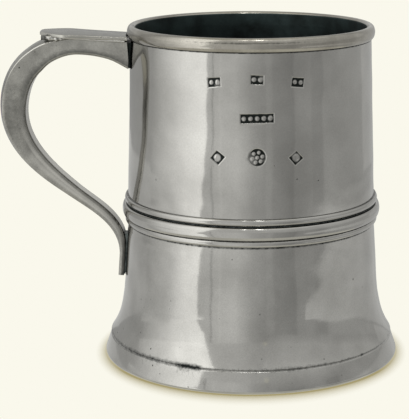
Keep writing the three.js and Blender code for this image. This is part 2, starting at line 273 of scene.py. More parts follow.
class Finishes(bpy.types.PropertyGroup):
    """Colours of the metal, of its oxide, of its painted highlights and of the studio."""
    pewter: colour("Pewter", "Polished wall of the drums and mouldings", "#a3a29f")
    pewter_shade: colour("Pewter shade", "Duller clouds in the polish", "#93928f")
    lip_pewter: colour("Lip pewter", "Browner metal of the lip, worn by use", "#99968f")
    lip_shade: colour("Lip shade", "Darker clouds on the lip", "#84817a")
    cast_pewter: colour("Cast pewter", "Duller metal of the handle", "#8d8c87")
    cast_shade: colour("Cast shade", "Darker clouds on the handle", "#767571")
    # Painted highlight: a lighter colour mixed into the handle where its edges, a streak on its neck and its
    # inner face are to look lit
    painted_highlight: colour("Burnish", "Edges of the handle rubbed bright", "#cfcdc7")
    oxide: colour("Oxide", "Dark film in grooves and pits", "#1f2221")
    # A very dark colour for the inside of the cup and for the base
    inside: colour("Inside", "Blackened inside of the cup", "#3a4545")
    bright_solder: colour("Bright solder", "Rubbed solder under the thumb rest", "#9f9e9a")
    grey_solder: colour("Grey solder", "Half rubbed solder of the tab and the girdle", "#696f6e")
    solder: colour("Solder", "Blackened solder of the joints", "#2b3130")
    backdrop: colour("Backdrop", "Pale cream floor and surroundings", "#faf8ec")
    shadow: colour("Shadow", "Floor right beside the foot", "#867500")


class Studio(bpy.types.PropertyGroup):
    """Where the camera stands and how far off the cards are."""
    camera_back: length("Camera distance", "From the drum's axis, level with the floor", 551.5)
    camera_height: length("Camera height", "Above the floor", 179)
    camera_pitch: angle("Camera pitch", "How far the camera looks down", 13.09)
    lens: bpy.props.FloatProperty(
        name="Lens", description="Focal length on a 36 mm frame", default=137.88, unit="CAMERA")
    shift: bpy.props.FloatProperty(
        name="Shift", description="Sideways shift that keeps the drum upright off centre", default=-0.111)
    card_distance: length("Card distance", "From the drum's axis to the ring of cards", 1000)
    shadow_reach: length("Shadow reach", "How far the foot's contact shadow spreads in front", 10.5)
    side_reach: length("Side reach", "How far it spreads at the two sides", 4)
    front_shadow: share("Front shadow", "How deep that shadow is in front", 0.8)
    side_shadow: share("Side shadow", "How deep it is at the two sides", 0.58)


def body_sizes():
    """The scene's sizes of the body."""
    return bpy.context.scene.tankard_body


def handle_sizes():
    """The scene's sizes of the handle."""
    return bpy.context.scene.tankard_handle


def finishes():
    """The scene's colours."""
    return bpy.context.scene.tankard_finishes


def studio():
    """The scene's settings of the camera, the cards and the floor."""
    return bpy.context.scene.tankard_studio


# Shader nodes

def add(tree, kind, settings, inputs):
    """Adds a shader node, sets it and fills its inputs with values, sockets or nodes' first outputs."""
    made = tree.nodes.new("ShaderNode" + kind)
    for name, value in settings.items():
        setattr(made, name, value)
    for name, value in inputs.items():
        if isinstance(value, bpy.types.Node):
            value = value.outputs[0]
        if isinstance(value, bpy.types.NodeSocket):
            tree.links.new(value, made.inputs[name])
        else:
            made.inputs[name].default_value = value
    return made


def new_material(name):
    """An empty material and its node tree."""
    material = bpy.data.materials.new(name)
    material.use_nodes = True
    material.node_tree.nodes.clear()
    return material, material.node_tree


def opaque(rgb):
    """A colour with full alpha, as the nodes take it."""
    return (*rgb, 1)


def per_mm(millimetres):
    """Scale of a texture whose pattern repeats every so many millimetres."""
    return 1 / (millimetres * MM)


def metal(name, bright, dull, *, roughness, grain, clouds_mm, ripples_mm, ripples, pits_mm, pits, mottle):
    """Soft grey metal: clouded polish, slight ripples, some pits, dark oxide and painted shade where the
    patina attribute is above 0, and a painted highlight where it is below 0.
    """
    if name in bpy.data.materials:
        return bpy.data.materials[name]
    material, tree = new_material(name)
    spot = add(tree, "TexCoord", {}, {}).outputs["Object"]
    oxide = opaque(finishes().oxide)
    cloud = add(tree, "TexNoise", {}, {"Vector": spot, "Scale": per_mm(clouds_mm), "Detail": CLOUD_DETAIL})
    ripple = add(tree, "TexNoise", {}, {
        "Vector": spot, "Scale": per_mm(ripples_mm), "Detail": RIPPLE_DETAIL})
    grit = add(tree, "TexNoise", {}, {"Vector": spot, "Scale": per_mm(GRAIN_MM), "Detail": GRAIN_DETAIL})
    polish = add(tree, "MapRange", {}, {"Value": cloud, "From Min": CLOUD_LEAST, "From Max": CLOUD_MOST})
    base = add(tree, "MixRGB", {}, {
        "Fac": polish, "Color1": opaque(bright), "Color2": opaque(dull)})
    speckle = add(tree, "MapRange", {}, {
        "Value": grit, "From Min": GRAIN_LEAST, "From Max": GRAIN_MOST,
        "To Min": 1 - grain, "To Max": 1 + grain})
    skin = add(tree, "VectorMath", {"operation": "SCALE"}, {"Vector": base, "Scale": speckle})
    # The patina attribute holds oxide and painted shade above 0, and painted highlights below 0
    patina_and_painted_light = add(tree, "Attribute", {"attribute_name": "patina_and_painted_light"}, {}).outputs["Fac"]
    highlight_share = add(tree, "MapRange", {}, {"Value": patina_and_painted_light, "From Min": 0, "From Max": -1})
    # Where the patina is below 0 this mixes in the painted highlight
    rubbed = add(tree, "MixRGB", {}, {
        "Fac": highlight_share, "Color1": skin, "Color2": opaque(finishes().painted_highlight)})
    cells = add(tree, "TexVoronoi", {}, {"Vector": spot, "Scale": per_mm(pits_mm)})
    chosen = add(tree, "SeparateColor", {}, {"Color": cells.outputs["Color"]})
    picked = add(tree, "Math", {"operation": "LESS_THAN"}, {0: chosen, 1: pits})
    mouth = add(tree, "MapRange", {}, {
        "Value": chosen.outputs["Green"], "To Min": SMALL_PIT / pits_mm, "To Max": LARGE_PIT / pits_mm})
    rim = add(tree, "Math", {"operation": "DIVIDE"}, {0: cells, 1: mouth})
    hollow = add(tree, "MapRange", {}, {
        "Value": rim, "From Min": 1, "From Max": PIT_BOTTOM, "To Max": PIT_DARKNESS})
    pit = add(tree, "Math", {"operation": "MULTIPLY"}, {0: picked, 1: hollow})
    flecks = add(tree, "TexNoise", {}, {
        "Vector": spot, "Scale": per_mm(FLECK_MM), "Detail": GRAIN_DETAIL})
    bare = add(tree, "Math", {"operation": "MULTIPLY"}, {0: flecks, 1: mottle})
    held = add(tree, "Math", {"operation": "SUBTRACT"}, {0: patina_and_painted_light, 1: bare})
    # This film darkens the metal with oxide and painted shade alike
    film = add(tree, "Math", {"operation": "MULTIPLY", "use_clamp": True}, {0: held, 1: FILM_GAIN})
    dirt_and_shade = add(tree, "Math", {"operation": "MAXIMUM"}, {0: film, 1: pit})
    tone = add(tree, "MixRGB", {}, {"Fac": dirt_and_shade, "Color1": rubbed, "Color2": oxide})
    dulled = add(tree, "Math", {"operation": "MULTIPLY_ADD"}, {0: dirt_and_shade, 1: DIRT_AND_SHADE_ROUGHNESS, 2: roughness})
    lift = add(tree, "Math", {"operation": "MULTIPLY"}, {0: ripple, 1: ripples})
    relief = add(tree, "Math", {"operation": "MULTIPLY_ADD"}, {0: pit, 1: -PIT_DEPTH, 2: lift})
    bump = add(tree, "Bump", {}, {"Height": relief, "Distance": MM})
    shader = add(tree, "BsdfPrincipled", {}, {
        "Base Color": tone, "Metallic": 1, "Roughness": dulled, "Normal": bump})
    add(tree, "OutputMaterial", {}, {"Surface": shader})
    return material


def turned_pewter():
    """Pewter turned and polished on a lathe: a clear soft-edged mirror, with clouds and a few pits."""
    return metal(
        "turned_pewter", finishes().pewter, finishes().pewter_shade, roughness=0.095, grain=0.04,
        clouds_mm=16, ripples_mm=3.5, ripples=0.015, pits_mm=3.6, pits=0.1, mottle=0.6)


def worn_pewter():
    """Turned pewter that has been knocked about: the same soft mirror, with many more pits."""
    return metal(
        "worn_pewter", finishes().pewter, finishes().pewter_shade, roughness=0.095, grain=0.05,
        clouds_mm=12, ripples_mm=3.5, ripples=0.018, pits_mm=3.4, pits=0.45, mottle=0.6)


def lip_pewter():
    """Turned pewter that mouths and cloths have worn: a browner, cloudier mirror."""
    return metal(
        "lip_pewter", finishes().lip_pewter, finishes().lip_shade, roughness=0.16, grain=0.06,
        clouds_mm=9, ripples_mm=3, ripples=0.02, pits_mm=3.4, pits=0.2, mottle=0.6)


def sand_cast_pewter():
    """Pewter cast in a mould and only fettled by hand: a duller, darker skin with more pits."""
    return metal(
        "sand_cast_pewter", finishes().cast_pewter, finishes().cast_shade, roughness=0.24, grain=0.1,
        clouds_mm=5.5, ripples_mm=1.6, ripples=0.03, pits_mm=2.6, pits=0.45, mottle=0.25)


def dark_inside_pewter():
    """Unpolished inside of the cup, made very dark: almost no reflection."""
    return metal(
        "dark_inside_pewter", finishes().inside, finishes().oxide, roughness=0.5, grain=0.1,
        clouds_mm=9, ripples_mm=2, ripples=0.03, pits_mm=6, pits=0.2, mottle=0.6)


def bright_solder():
    """Soft solder rubbed bright by the thumb: rough lumps with clear shine on top."""
    return metal(
        "bright_solder", finishes().bright_solder, finishes().pewter, roughness=0.25, grain=0.1,
        clouds_mm=2.5, ripples_mm=0.9, ripples=0.05, pits_mm=3, pits=0.2, mottle=0.4)


def rubbed_solder():
    """Old solder of the tab and of the girdle, half rubbed clean: dull grey lumps."""
    return metal(
        "rubbed_solder", finishes().grey_solder, finishes().solder, roughness=0.4, grain=0.1,
        clouds_mm=2.5, ripples_mm=0.9, ripples=0.05, pits_mm=3, pits=0.3, mottle=0.4)


def blackened_solder():
    """Soft solder left as it ran and gone black: rough lumps with a faint shine on top."""
    return metal(
        "blackened_solder", finishes().solder, finishes().oxide, roughness=0.42, grain=0.1,
        clouds_mm=2.5, ripples_mm=0.9, ripples=0.05, pits_mm=3, pits=0.3, mottle=0.4)


# Mesh helpers

def arc(centre, width, height, start, end):
    """Points of an elliptical arc in the (radius, height) plane, by angles in degrees."""
    points = []
    for step in range(ARC_STEPS + 1):
        turn = math.radians(start + (end - start) * step / ARC_STEPS)
        points.append((centre[0] + width * math.cos(turn), centre[1] + height * math.sin(turn)))
    return points


def between(start, end, along):
    """Value at a share of the way from one value to another."""
    return start + (end - start) * along


def bend(start, corner, end, steps):
    """Points of a curve that leaves its start towards a corner and comes to its end from there."""
    return interpolate_bezier(start, start.lerp(corner, 2 / 3), end.lerp(corner, 2 / 3), end, steps)


def wall_heights(bottom, top):
    """Heights up a wall, close together beside the mouldings at its two ends."""
    fine = round(FINE_BAND / FINE_STEP)
    coarse = round((top - bottom - 2 * FINE_BAND) / COARSE_STEP)
    heights = [bottom + FINE_STEP * step for step in range(fine)]
    middle = top - bottom - 2 * FINE_BAND
    heights += [bottom + FINE_BAND + middle * step / coarse for step in range(coarse)]
    heights += [top - FINE_STEP * step for step in range(fine, -1, -1)]
    return heights


def distance_from_axis(point):
    """Level distance of a point from the drum's axis."""
    return math.hypot(point.x - AXIS_X, point.y)


def spin_outline(outline):
    """Turns a closed outline of (radius, height) points about the drum's axis."""
    mesh = bmesh.new()
    corners = [mesh.verts.new((AXIS_X + radius, 0, height)) for radius, height in outline]
    edges = [mesh.edges.new(pair) for pair in zip(corners, corners[1:] + corners[:1])]
    bmesh.ops.spin(
        mesh, geom=corners + edges, cent=(AXIS_X, 0, 0), axis=(0, 0, 1),
        angle=2 * math.pi, steps=TURN_STEPS, use_merge=True)
    bmesh.ops.remove_doubles(mesh, verts=mesh.verts, dist=MERGE_DISTANCE)
    return mesh


def patina_and_light_layer(mesh):
    """Where a mesh keeps how dark the oxide and the painted shade are at each vertex, up to 1; less than 0 is
    a painted highlight.
    """
    return mesh.verts.layers.float.get("patina_and_painted_light") or mesh.verts.layers.float.new("patina_and_painted_light")


def paint_patina_and_shade(mesh, shade_at):
    """Adds oxide, painted shade and painted dark reflections where a function of a point says that there is
    any.
    """
    layer = patina_and_light_layer(mesh)
    for vertex in mesh.verts:
        shade = shade_at(vertex.co)
        if shade > 0:
            vertex[layer] = max(vertex[layer], shade)


def grooves():
    """Radius, height, reach and darkness of each dark line round the body."""
    edge = body_sizes().reed_edge
    seam_middle = (GIRDLE_SEAM_LOW + GIRDLE_SEAM_HIGH) / 2
    return (
        (body_sizes().top_radius, LIP_SEAT, LIP_GROOVE, LINE_DARKNESS),
        (WAIST_RADIUS + edge / 2, GIRDLE_TOP, REED_GROOVE, LINE_DARKNESS),
        (WAIST_RADIUS + edge, seam_middle, BEAD_GROOVE, SOLDER_DARKNESS),
        (WAIST_RADIUS + edge * 2, GIRDLE_LINE, BEAD_GROOVE, LINE_DARKNESS),
        (WAIST_RADIUS + edge / 2, GIRDLE_BOTTOM - edge / 2, LOW_GROOVE, LINE_DARKNESS),
    )


def groove_shader():
    """Oxide in the lines between the lip, the drums and the girdle, as a function of a point."""
    lines = grooves()

    def shade_at(point):
        """Oxide at a point."""
        radius = distance_from_axis(point)
        shade = 0
        for groove_radius, groove_height, reach, darkness in lines:
            if abs(point.z - groove_height) < LINE_END * reach:
                gap = math.hypot(radius - groove_radius, point.z - groove_height)
                shade = max(shade, darkness * math.exp(-(gap / reach) ** LINE_SHARPNESS))
        return shade

    return shade_at


def front_angle(point):
    """Angle round the drum from its front, in degrees towards the right."""
    return math.degrees(math.atan2(point.x - AXIS_X, -point.y))


# Oxide along the foot's seam: angle from the front in degrees, darkness, reach in millimetres
SEAM_STAINS = (
    (-180, 0.5, 1.1),
    (-76, 0.62, 1.1),
    (-45, 0.66, 1.4),
    (-31, 0.64, 1.4),
    (-28, 0.85, 1.5),
    (-21, 0.85, 1.4),
    (-18.5, 0.48, 1.2),
    (0, 0.46, 1.3),
    (10, 0.5, 1.4),
    (15, 0.55, 1.4),
    (26, 0.53, 1.3),
    (33, 0.48, 1.1),
    (42, 0.5, 0.95),
    (48, 0.44, 0.9),
    (49.5, 0.9, 0.7),
    (51, 0.42, 0.8),
    (58, 0.5, 0.8),
    (69, 0.48, 0.8),
    (180, 0.5, 1.1),
)

# How much less far that oxide reaches down onto the foot
SEAM_FOOT_REACH = 0.75


def seam_shade(point):
    """Ragged oxide beside the foot's seam, darker and wider in some places than in others."""
    turn = front_angle(point)
    rows = next(pair for pair in zip(SEAM_STAINS, SEAM_STAINS[1:]) if pair[0][0] <= turn <= pair[1][0])
    along = (turn - rows[0][0]) / (rows[1][0] - rows[0][0])
    darkness, reach = (between(start, end, along) for start, end in zip(rows[0][1:], rows[1][1:]))
    rise = point.z - (SKIRT_BOTTOM + FOOT_TOP) / 2
    if rise < 0:
        reach *= SEAM_FOOT_REACH
    gap = math.hypot(distance_from_axis(point) - FLARE_RADIUS, rise)
    return darkness * math.exp(-(gap / (reach * MM)) ** 2)


def finish_piece(name, mesh, slot, materials, *nodes):
    """Makes the mesh an object that rides on the body in place of its CAD nodes."""
    bmesh.ops.recalc_face_normals(mesh, faces=mesh.faces)
    data = bpy.data.meshes.new(name)
    mesh.to_mesh(data)
    mesh.free()
    data.polygons.foreach_set("use_smooth", [True] * len(data.polygons))
    data.set_sharp_from_angle(angle=SHARP_ANGLE)
    for material in materials:
        data.materials.append(material)
    piece = bpy.data.objects.new(name, data)
    bpy.context.scene.collection.objects.link(piece)
    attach(piece, BODY)
    if nodes:
        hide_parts(*nodes)
    return piece


def blacken_inside(mesh, least):
    """Gives the faces that look at the drum's axis, by at least so much, the second material."""
    bmesh.ops.recalc_face_normals(mesh, faces=mesh.faces)
    mesh.faces.ensure_lookup_table()
    for face in mesh.faces:
        middle = face.calc_center_median()
        outward = Vector((middle.x - AXIS_X, middle.y, 0)).normalized()
        if face.normal.dot(outward) < -least:
            face.material_index = 1


# Body

def dent(point, bottom, top):
    """How far a drum's wall is out of true at a point, with none beside its mouldings."""
    sizes = body_sizes()
    fade = min(1, (point.z - bottom) / sizes.dent_fade, (top - point.z) / sizes.dent_fade)
    where = Vector((point.x / sizes.dent_length, point.y / sizes.dent_length, point.z / sizes.dent_height))
    wave = noise.noise(where) + DENT_FINE * noise.noise(where * DENT_FINER)
    return sizes.dent_depth * max(0, fade) * wave


def push_out(vertex, distance):
    """Moves a vertex straight away from the drum's axis."""
    outward = Vector((vertex.co.x - AXIS_X, vertex.co.y, 0)).normalized()
    vertex.co += outward * distance


def dent_wall(mesh, bottom, top, least_radius):
    """Dents the outside of a drum between two heights."""
    for vertex in mesh.verts:
        if bottom < vertex.co.z < top and distance_from_axis(vertex.co) > least_radius:
            push_out(vertex, dent(vertex.co, bottom, top))


def upper_radius(height):
    """Outside of the upper drum at a height."""
    along = min(1, max(0, (height - GIRDLE_TOP) / (LIP_SEAT - GIRDLE_TOP)))
    return between(WAIST_RADIUS, body_sizes().top_radius, along)


def flare_points():
    """Outside of the skirt, from where it starts to flare down to the foot."""
    sizes = body_sizes()
    start = Vector((sizes.skirt_radius, sizes.skirt_height))
    corner = start + Vector((sizes.flare_lead, -sizes.flare_run))
    round_middle = (FLARE_RADIUS - sizes.skirt_edge, SKIRT_BOTTOM + sizes.skirt_edge)
    edge = arc(round_middle, sizes.skirt_edge, sizes.skirt_edge, math.degrees(sizes.skirt_lean), -90)
    curve = bend(start, corner, Vector(edge[0]), FLARE_STEPS)
    return [tuple(point) for point in curve[:-1]] + edge


def lower_radius(height):
    """Outside of the straight part of the lower drum at a height."""
    sizes = body_sizes()
    along = (GIRDLE_BOTTOM - height) / (GIRDLE_BOTTOM - sizes.skirt_height)
    return between(WAIST_RADIUS, sizes.skirt_radius, along)


# A faint dark line along the front of the lip, a painted reflection: how far up its round face, its darkness,
# its reach, and how fast it fades to the two sides
LIP_REFLECTION_ANGLE = math.radians(21)
LIP_REFLECTION_DARKNESS = 0.62
LIP_REFLECTION_REACH = 0.42 * MM
LIP_REFLECTION_FADE = 4


def lip_face():
    """Middle of the lip's round face as radius and height, its half width and its half height."""
    sizes = body_sizes()
    ridge = (sizes.top_radius - sizes.wall + LIP_RADIUS) / 2
    half_height = (LIP_TOP - sizes.lip_drop - LIP_SEAT) / 2
    return (ridge, LIP_SEAT + half_height), LIP_RADIUS - ridge, half_height


def lip_painted_reflection(point):
    """The painted reflection of a dark line along the lip, strongest at the front and gone at the back."""
    middle, half_width, half_height = lip_face()
    out = distance_from_axis(point) - middle[0] - half_width * math.cos(LIP_REFLECTION_ANGLE)
    up = point.z - middle[1] - half_height * math.sin(LIP_REFLECTION_ANGLE)
    ahead = max(0, math.cos(math.radians(front_angle(point)))) ** LIP_REFLECTION_FADE
    gap = math.hypot(out, up)
    return LIP_REFLECTION_DARKNESS * ahead * math.exp(-(gap / LIP_REFLECTION_REACH) ** LINE_SHARPNESS)


def make_lip():
    """A soft roll round the mouth, with a rounded top that turns into it."""
    sizes = body_sizes()
    mouth = sizes.top_radius - sizes.wall
    middle, half_width, half_height = lip_face()
    top = middle[1] + half_height
    undercut = math.degrees(sizes.lip_undercut)
    face = arc(middle, half_width, half_height, -undercut, 90)
    inner = arc((middle[0], top - sizes.lip_crown), half_width, sizes.lip_crown, 90, 180)
    mesh = spin_outline([(mouth, LIP_SEAT)] + face + inner[1:])
    blacken_inside(mesh, LIP_INWARD)
    paint_patina_and_shade(mesh, groove_shader())
    # The dark line along the lip's front is a painted reflection
    paint_patina_and_shade(mesh, lip_painted_reflection)
    finish_piece("lip_moulding", mesh, "pewter", (lip_pewter(), dark_inside_pewter()), "lip_ring")


class Stamp(NamedTuple):
    """A mark struck into the upper drum by hand. Places and sizes are in millimetres, the tilt in degrees."""
    outline: str
    round_drum: float
    height: float
    half_width: float
    half_height: float
    pellets: int
    tilt: float


STAMPS = (
    Stamp("box", -12, 102, 2.1, 1.5, 2, 5),
    Stamp("box", 2, 103, 2.1, 1.5, 2, -2),
    Stamp("box", 15.5, 101.8, 2.1, 1.5, 2, -7),
    Stamp("box", 2, 90.5, 5.4, 1.5, 5, 1),
    Stamp("lozenge", -11, 77.5, 2.6, 2.4, 1, 6),
    Stamp("round", 2, 77.8, 2.9, 2.9, 6, 12),
    Stamp("lozenge", 15, 77.2, 2.6, 2.4, 1, -5),
)

# Fineness of the mesh at the stamps, width of their sloping walls and margin round them in millimetres
STAMP_CUTS = 6
STAMP_SLOPE = 0.35
STAMP_MARGIN = 0.6

# Pellets as shares of their mark: their ring and their radius in a round one, their radius in the others,
# and their height
PELLET_RING = 0.58
RING_PELLET = 0.25
ROW_PELLET = 0.62
PELLET_RISE = 0.85

# How hard the punches struck as a share, how much that varies, and over what distance
STRIKE_FORCE = 0.82
STRIKE_UNEVEN = 0.55
STRIKE_PATCH = 4 * MM


def stamp_gap(stamp, across, up):
    """Distance of a point outside a stamp's outline, less than 0 inside it."""
    if stamp.outline == "round":
        return math.hypot(across, up) - stamp.half_width
    if stamp.outline == "lozenge":
        beyond = abs(across) / stamp.half_width + abs(up) / stamp.half_height - 1
        return beyond * stamp.half_height / math.sqrt(2)
    return max(abs(across) - stamp.half_width, abs(up) - stamp.half_height)


def stamp_pellets(stamp):
    """Centres and radius of the raised pellets in a stamp: a ring with one in its middle, or a row."""
    if stamp.outline == "round":
        ring = stamp.half_width * PELLET_RING
        turns = [math.tau * step / stamp.pellets for step in range(stamp.pellets)]
        centres = [(ring * math.cos(turn), ring * math.sin(turn)) for turn in turns]
        return centres + [(0, 0)], stamp.half_width * RING_PELLET
    pitch = 2 * stamp.half_width / stamp.pellets
    first = -(stamp.pellets - 1) / 2 * pitch
    return [(first + step * pitch, 0) for step in range(stamp.pellets)], stamp.half_height * ROW_PELLET


def strike(stamp, across, up):
    """How far the metal is driven in at a point, and how dark the oxide is there, from 0 to 1."""
    sunk = min(1, max(0, 1 / 2 - stamp_gap(stamp, across, up) / STAMP_SLOPE))
    centres, radius = stamp_pellets(stamp)
    nearest = min(math.hypot(across - x, up - z) for x, z in centres)
    pellet = max(0, 1 - (nearest / radius) ** 2)
    return sunk * (1 - PELLET_RISE * pellet), sunk * (1 - pellet)


def stamp_place(stamp, point):
    """Where a point of the wall lies in a stamp, in millimetres across and up."""
    across = math.radians(front_angle(point)) * distance_from_axis(point) / MM - stamp.round_drum
    up = point.z / MM - stamp.height
    tilt = math.radians(stamp.tilt)
    return across * math.cos(tilt) + up * math.sin(tilt), up * math.cos(tilt) - across * math.sin(tilt)


def stamp_covers(stamp, point, wall_middle):
    """Tells whether a point lies on the outside of the wall in a stamp or just beside it."""
    across, up = stamp_place(stamp, point)
    beside = max(abs(across) - stamp.half_width, abs(up) - stamp.half_height)
    return beside < STAMP_MARGIN and distance_from_axis(point) > wall_middle


def strike_marks(mesh, wall_middle):
    """Strikes the marks into the outside of the wall, on a mesh made finer there."""
    for stamp in STAMPS:
        faces = [face for face in mesh.faces if stamp_covers(stamp, face.calc_center_median(), wall_middle)]
        edges = list(dict.fromkeys(edge for face in faces for edge in face.edges))
        bmesh.ops.subdivide_edges(mesh, edges=edges, cuts=STAMP_CUTS, use_grid_fill=True)
    layer = patina_and_light_layer(mesh)
    for vertex in mesh.verts:
        for stamp in STAMPS:
            if stamp_covers(stamp, vertex.co, wall_middle):
                sunk, dark = strike(stamp, *stamp_place(stamp, vertex.co))
                force = min(1, STRIKE_FORCE + STRIKE_UNEVEN * noise.noise(vertex.co / STRIKE_PATCH))
                push_out(vertex, -sunk * force * body_sizes().stamp_depth)
                vertex[layer] = dark * force


def inside_of(outside):
    """Inside of a drum's wall, from the end of its outside back to the start."""
    inside = [(radius - body_sizes().wall, height) for radius, height in reversed(outside)]
    return inside[::INSIDE_SKIP] + inside[-1:]


def make_upper_drum():
    """The tapered upper drum, slightly dented, with the marks struck into its front."""
    sizes = body_sizes()
    outside = [(upper_radius(height), height) for height in wall_heights(GIRDLE_SEAM_HIGH, LIP_SEAT)]
    mesh = spin_outline(outside + inside_of(outside))
    wall_middle = sizes.top_radius - sizes.wall / 2
    dent_wall(mesh, GIRDLE_TOP, LIP_SEAT, wall_middle)
    strike_marks(mesh, wall_middle)
    blacken_inside(mesh, WALL_INWARD)
    paint_patina_and_shade(mesh, groove_shader())
    finish_piece("upper_drum_wall", mesh, "pewter", (turned_pewter(), dark_inside_pewter()), "upper_drum")


def make_lower_drum():
    """The lower drum with its flared skirt, slightly dented."""
    sizes = body_sizes()
    heights = wall_heights(sizes.skirt_height, GIRDLE_BOTTOM)
    straight = [(WAIST_RADIUS, GIRDLE_SEAM_LOW)]
    straight += [(lower_radius(height), height) for height in reversed(heights)]
    outside = straight + flare_points()[1:]
    mesh = spin_outline(outside + inside_of(outside))
    dent_wall(mesh, SKIRT_BOTTOM, GIRDLE_BOTTOM, WAIST_RADIUS - sizes.wall / 2)
    blacken_inside(mesh, WALL_INWARD)
    paint_patina_and_shade(mesh, groove_shader())
    paint_patina_and_shade(mesh, seam_shade)
    finish_piece("lower_drum_wall", mesh, "pewter", (worn_pewter(), dark_inside_pewter()), "lower_drum")


def make_moulding(name, node, edge):
    """A hoop with a rounded face, soldered round the waist."""
    bottom, top = low(node), high(node)
    face = (WAIST_RADIUS + edge, (bottom + top) / 2)
    outline = [(WAIST_RADIUS, bottom)]
    outline += arc(face, widest(node) - face[0], (top - bottom) / 2, -90, 90)
    outline.append((WAIST_RADIUS, top))
    mesh = spin_outline(outline)
    paint_patina_and_shade(mesh, groove_shader())
    finish_piece(name, mesh, "pewter", (turned_pewter(),), node)


def make_seam(name, node, edge_radius, swell, sink, material, shade_at):
    """A ring of solder that fills the line between two turned pieces, with a flat or swelling face."""
    bottom, top = low(node) - sink, high(node)
    back = edge_radius - SEAM_DEPTH
    face = arc((edge_radius, (bottom + top) / 2), swell, (top - bottom) / 2, -90, 90)
    mesh = spin_outline([(back, bottom)] + face + [(back, top)])
    paint_patina_and_shade(mesh, shade_at)
    finish_piece(name, mesh, "dark_solder", (material,), node)


# Degrees by which the foot's face leans back at its lower and at its upper rounding
FOOT_LOW_LEAN = 10
FOOT_HIGH_LEAN = 16


def make_foot():
    """A splayed foot with a rounded lower edge and a collar inside that carries the base."""
    sizes = body_sizes()
    tread = FOOT_RADIUS - sizes.foot_round
    shoulder = FLARE_RADIUS + sizes.foot_shoulder
    collar = BASE_RADIUS
    outline = [(tread - sizes.foot_tread, 0)]
    outline += arc((tread, sizes.foot_round), sizes.foot_round, sizes.foot_round, -90, FOOT_LOW_LEAN)
    outline += arc((shoulder - sizes.foot_edge, FOOT_TOP - sizes.foot_edge),
                   sizes.foot_edge, sizes.foot_edge, FOOT_HIGH_LEAN, 90)
    outline += [(collar, FOOT_TOP), (collar, FLOOR_LOW), (collar - sizes.collar_width, FLOOR_LOW)]
    mesh = spin_outline(outline)
    paint_patina_and_shade(mesh, seam_shade)
    finish_piece("foot_moulding", mesh, "pewter", (worn_pewter(),), "foot_ring")


def make_base():
    """The let-in bottom of the cup, black inside, and the solder run under its edge."""
    plate = [(0, FLOOR_LOW), (BASE_RADIUS, FLOOR_LOW), (BASE_RADIUS, FLOOR_HIGH), (0, FLOOR_HIGH)]
    mesh = spin_outline(plate)
    finish_piece("base_plate", mesh, "pewter", (dark_inside_pewter(),), "base_disc")
    bottom, top = low("base_solder_fillet"), high("base_solder_fillet")
    radius = widest("base_solder_fillet")
    size = top - bottom
    run = arc((radius - size, bottom), size, size, 90, 0)
    mesh = spin_outline([(radius, top)] + run)
    finish_piece("base_solder_run", mesh, "dark_solder", (blackened_solder(),), "base_solder_fillet")


# Handle

def place(run, height):
    """A point in the handle's plane, a distance out from the drum's axis."""
    return Vector((AXIS_X - run, 0, height))


def arm_top():
    """Height of the arm's top where it meets the drum."""
    return LIP_SEAT - handle_sizes().arm_drop


def upper_gap(height):
    """Width of the upper joint's gap, which closes towards its lower end."""
    sizes = handle_sizes()
    bottom = low("upper_handle_solder")
    along = min(1, max(0, (height - bottom) / (arm_top() - bottom)))
    return between(sizes.upper_joint_low, sizes.upper_joint, along)


def arm_seat(height):
    """Distance from the drum's axis to the end of the arm and of the thumb rest at a height."""
    return upper_radius(height) + upper_gap(height)


def tab_seat(height):
    """Distance from the drum's axis to the inner face of the tab at a height."""
    return lower_radius(height) + handle_sizes().lower_joint


def strap_line():
    """Back line of the strap: arm, shoulder, loop, turn down to the skirt and tab, as Bezier stretches."""
    sizes = handle_sizes()
    root_run = upper_radius(arm_top())
    climb, fall = math.tan(sizes.climb), math.tan(sizes.neck_slope)
    crest_run, back_run = root_run + sizes.crest_run, root_run + sizes.reach
    crest_top = arm_top() + sizes.crest_run * climb
    tab_gap = sizes.lower_joint + sizes.tab_depth
    heel_run = lower_radius(sizes.heel_height) + tab_gap
    tab_run = lower_radius(sizes.tab_height) + tab_gap
    neck_run, neck_top = heel_run + sizes.neck_run, sizes.heel_height + sizes.neck_rise
    shoulder_run = (back_run - crest_run) * sizes.shoulder_out
    shoulder_drop = (crest_top - sizes.back_height) * sizes.shoulder_up
    loop_drop = (sizes.back_height - neck_top) * sizes.loop_down
    loop_run = (back_run - neck_run) * sizes.loop_out
    turn_run = sizes.neck_run * sizes.turn_in
    root, crest = place(root_run, arm_top()), place(crest_run, crest_top)
    back, neck = place(back_run, sizes.back_height), place(neck_run, neck_top)
    heel, tab = place(heel_run, sizes.heel_height), place(tab_run, sizes.tab_height)
    return (
        (root, root.lerp(crest, 1 / 3), root.lerp(crest, 2 / 3), crest),
        (crest, place(crest_run + shoulder_run, crest_top + shoulder_run * climb),
         place(back_run, sizes.back_height + shoulder_drop), back),
        (back, place(back_run, sizes.back_height - loop_drop),
         place(neck_run + loop_run, neck_top + loop_run * fall), neck),
        (neck, place(neck_run - turn_run, neck_top - turn_run * fall),
         place(heel_run, sizes.heel_height + sizes.neck_rise * sizes.turn_up), heel),
        (heel, heel.lerp(tab, 1 / 3), heel.lerp(tab, 2 / 3), tab),
    )


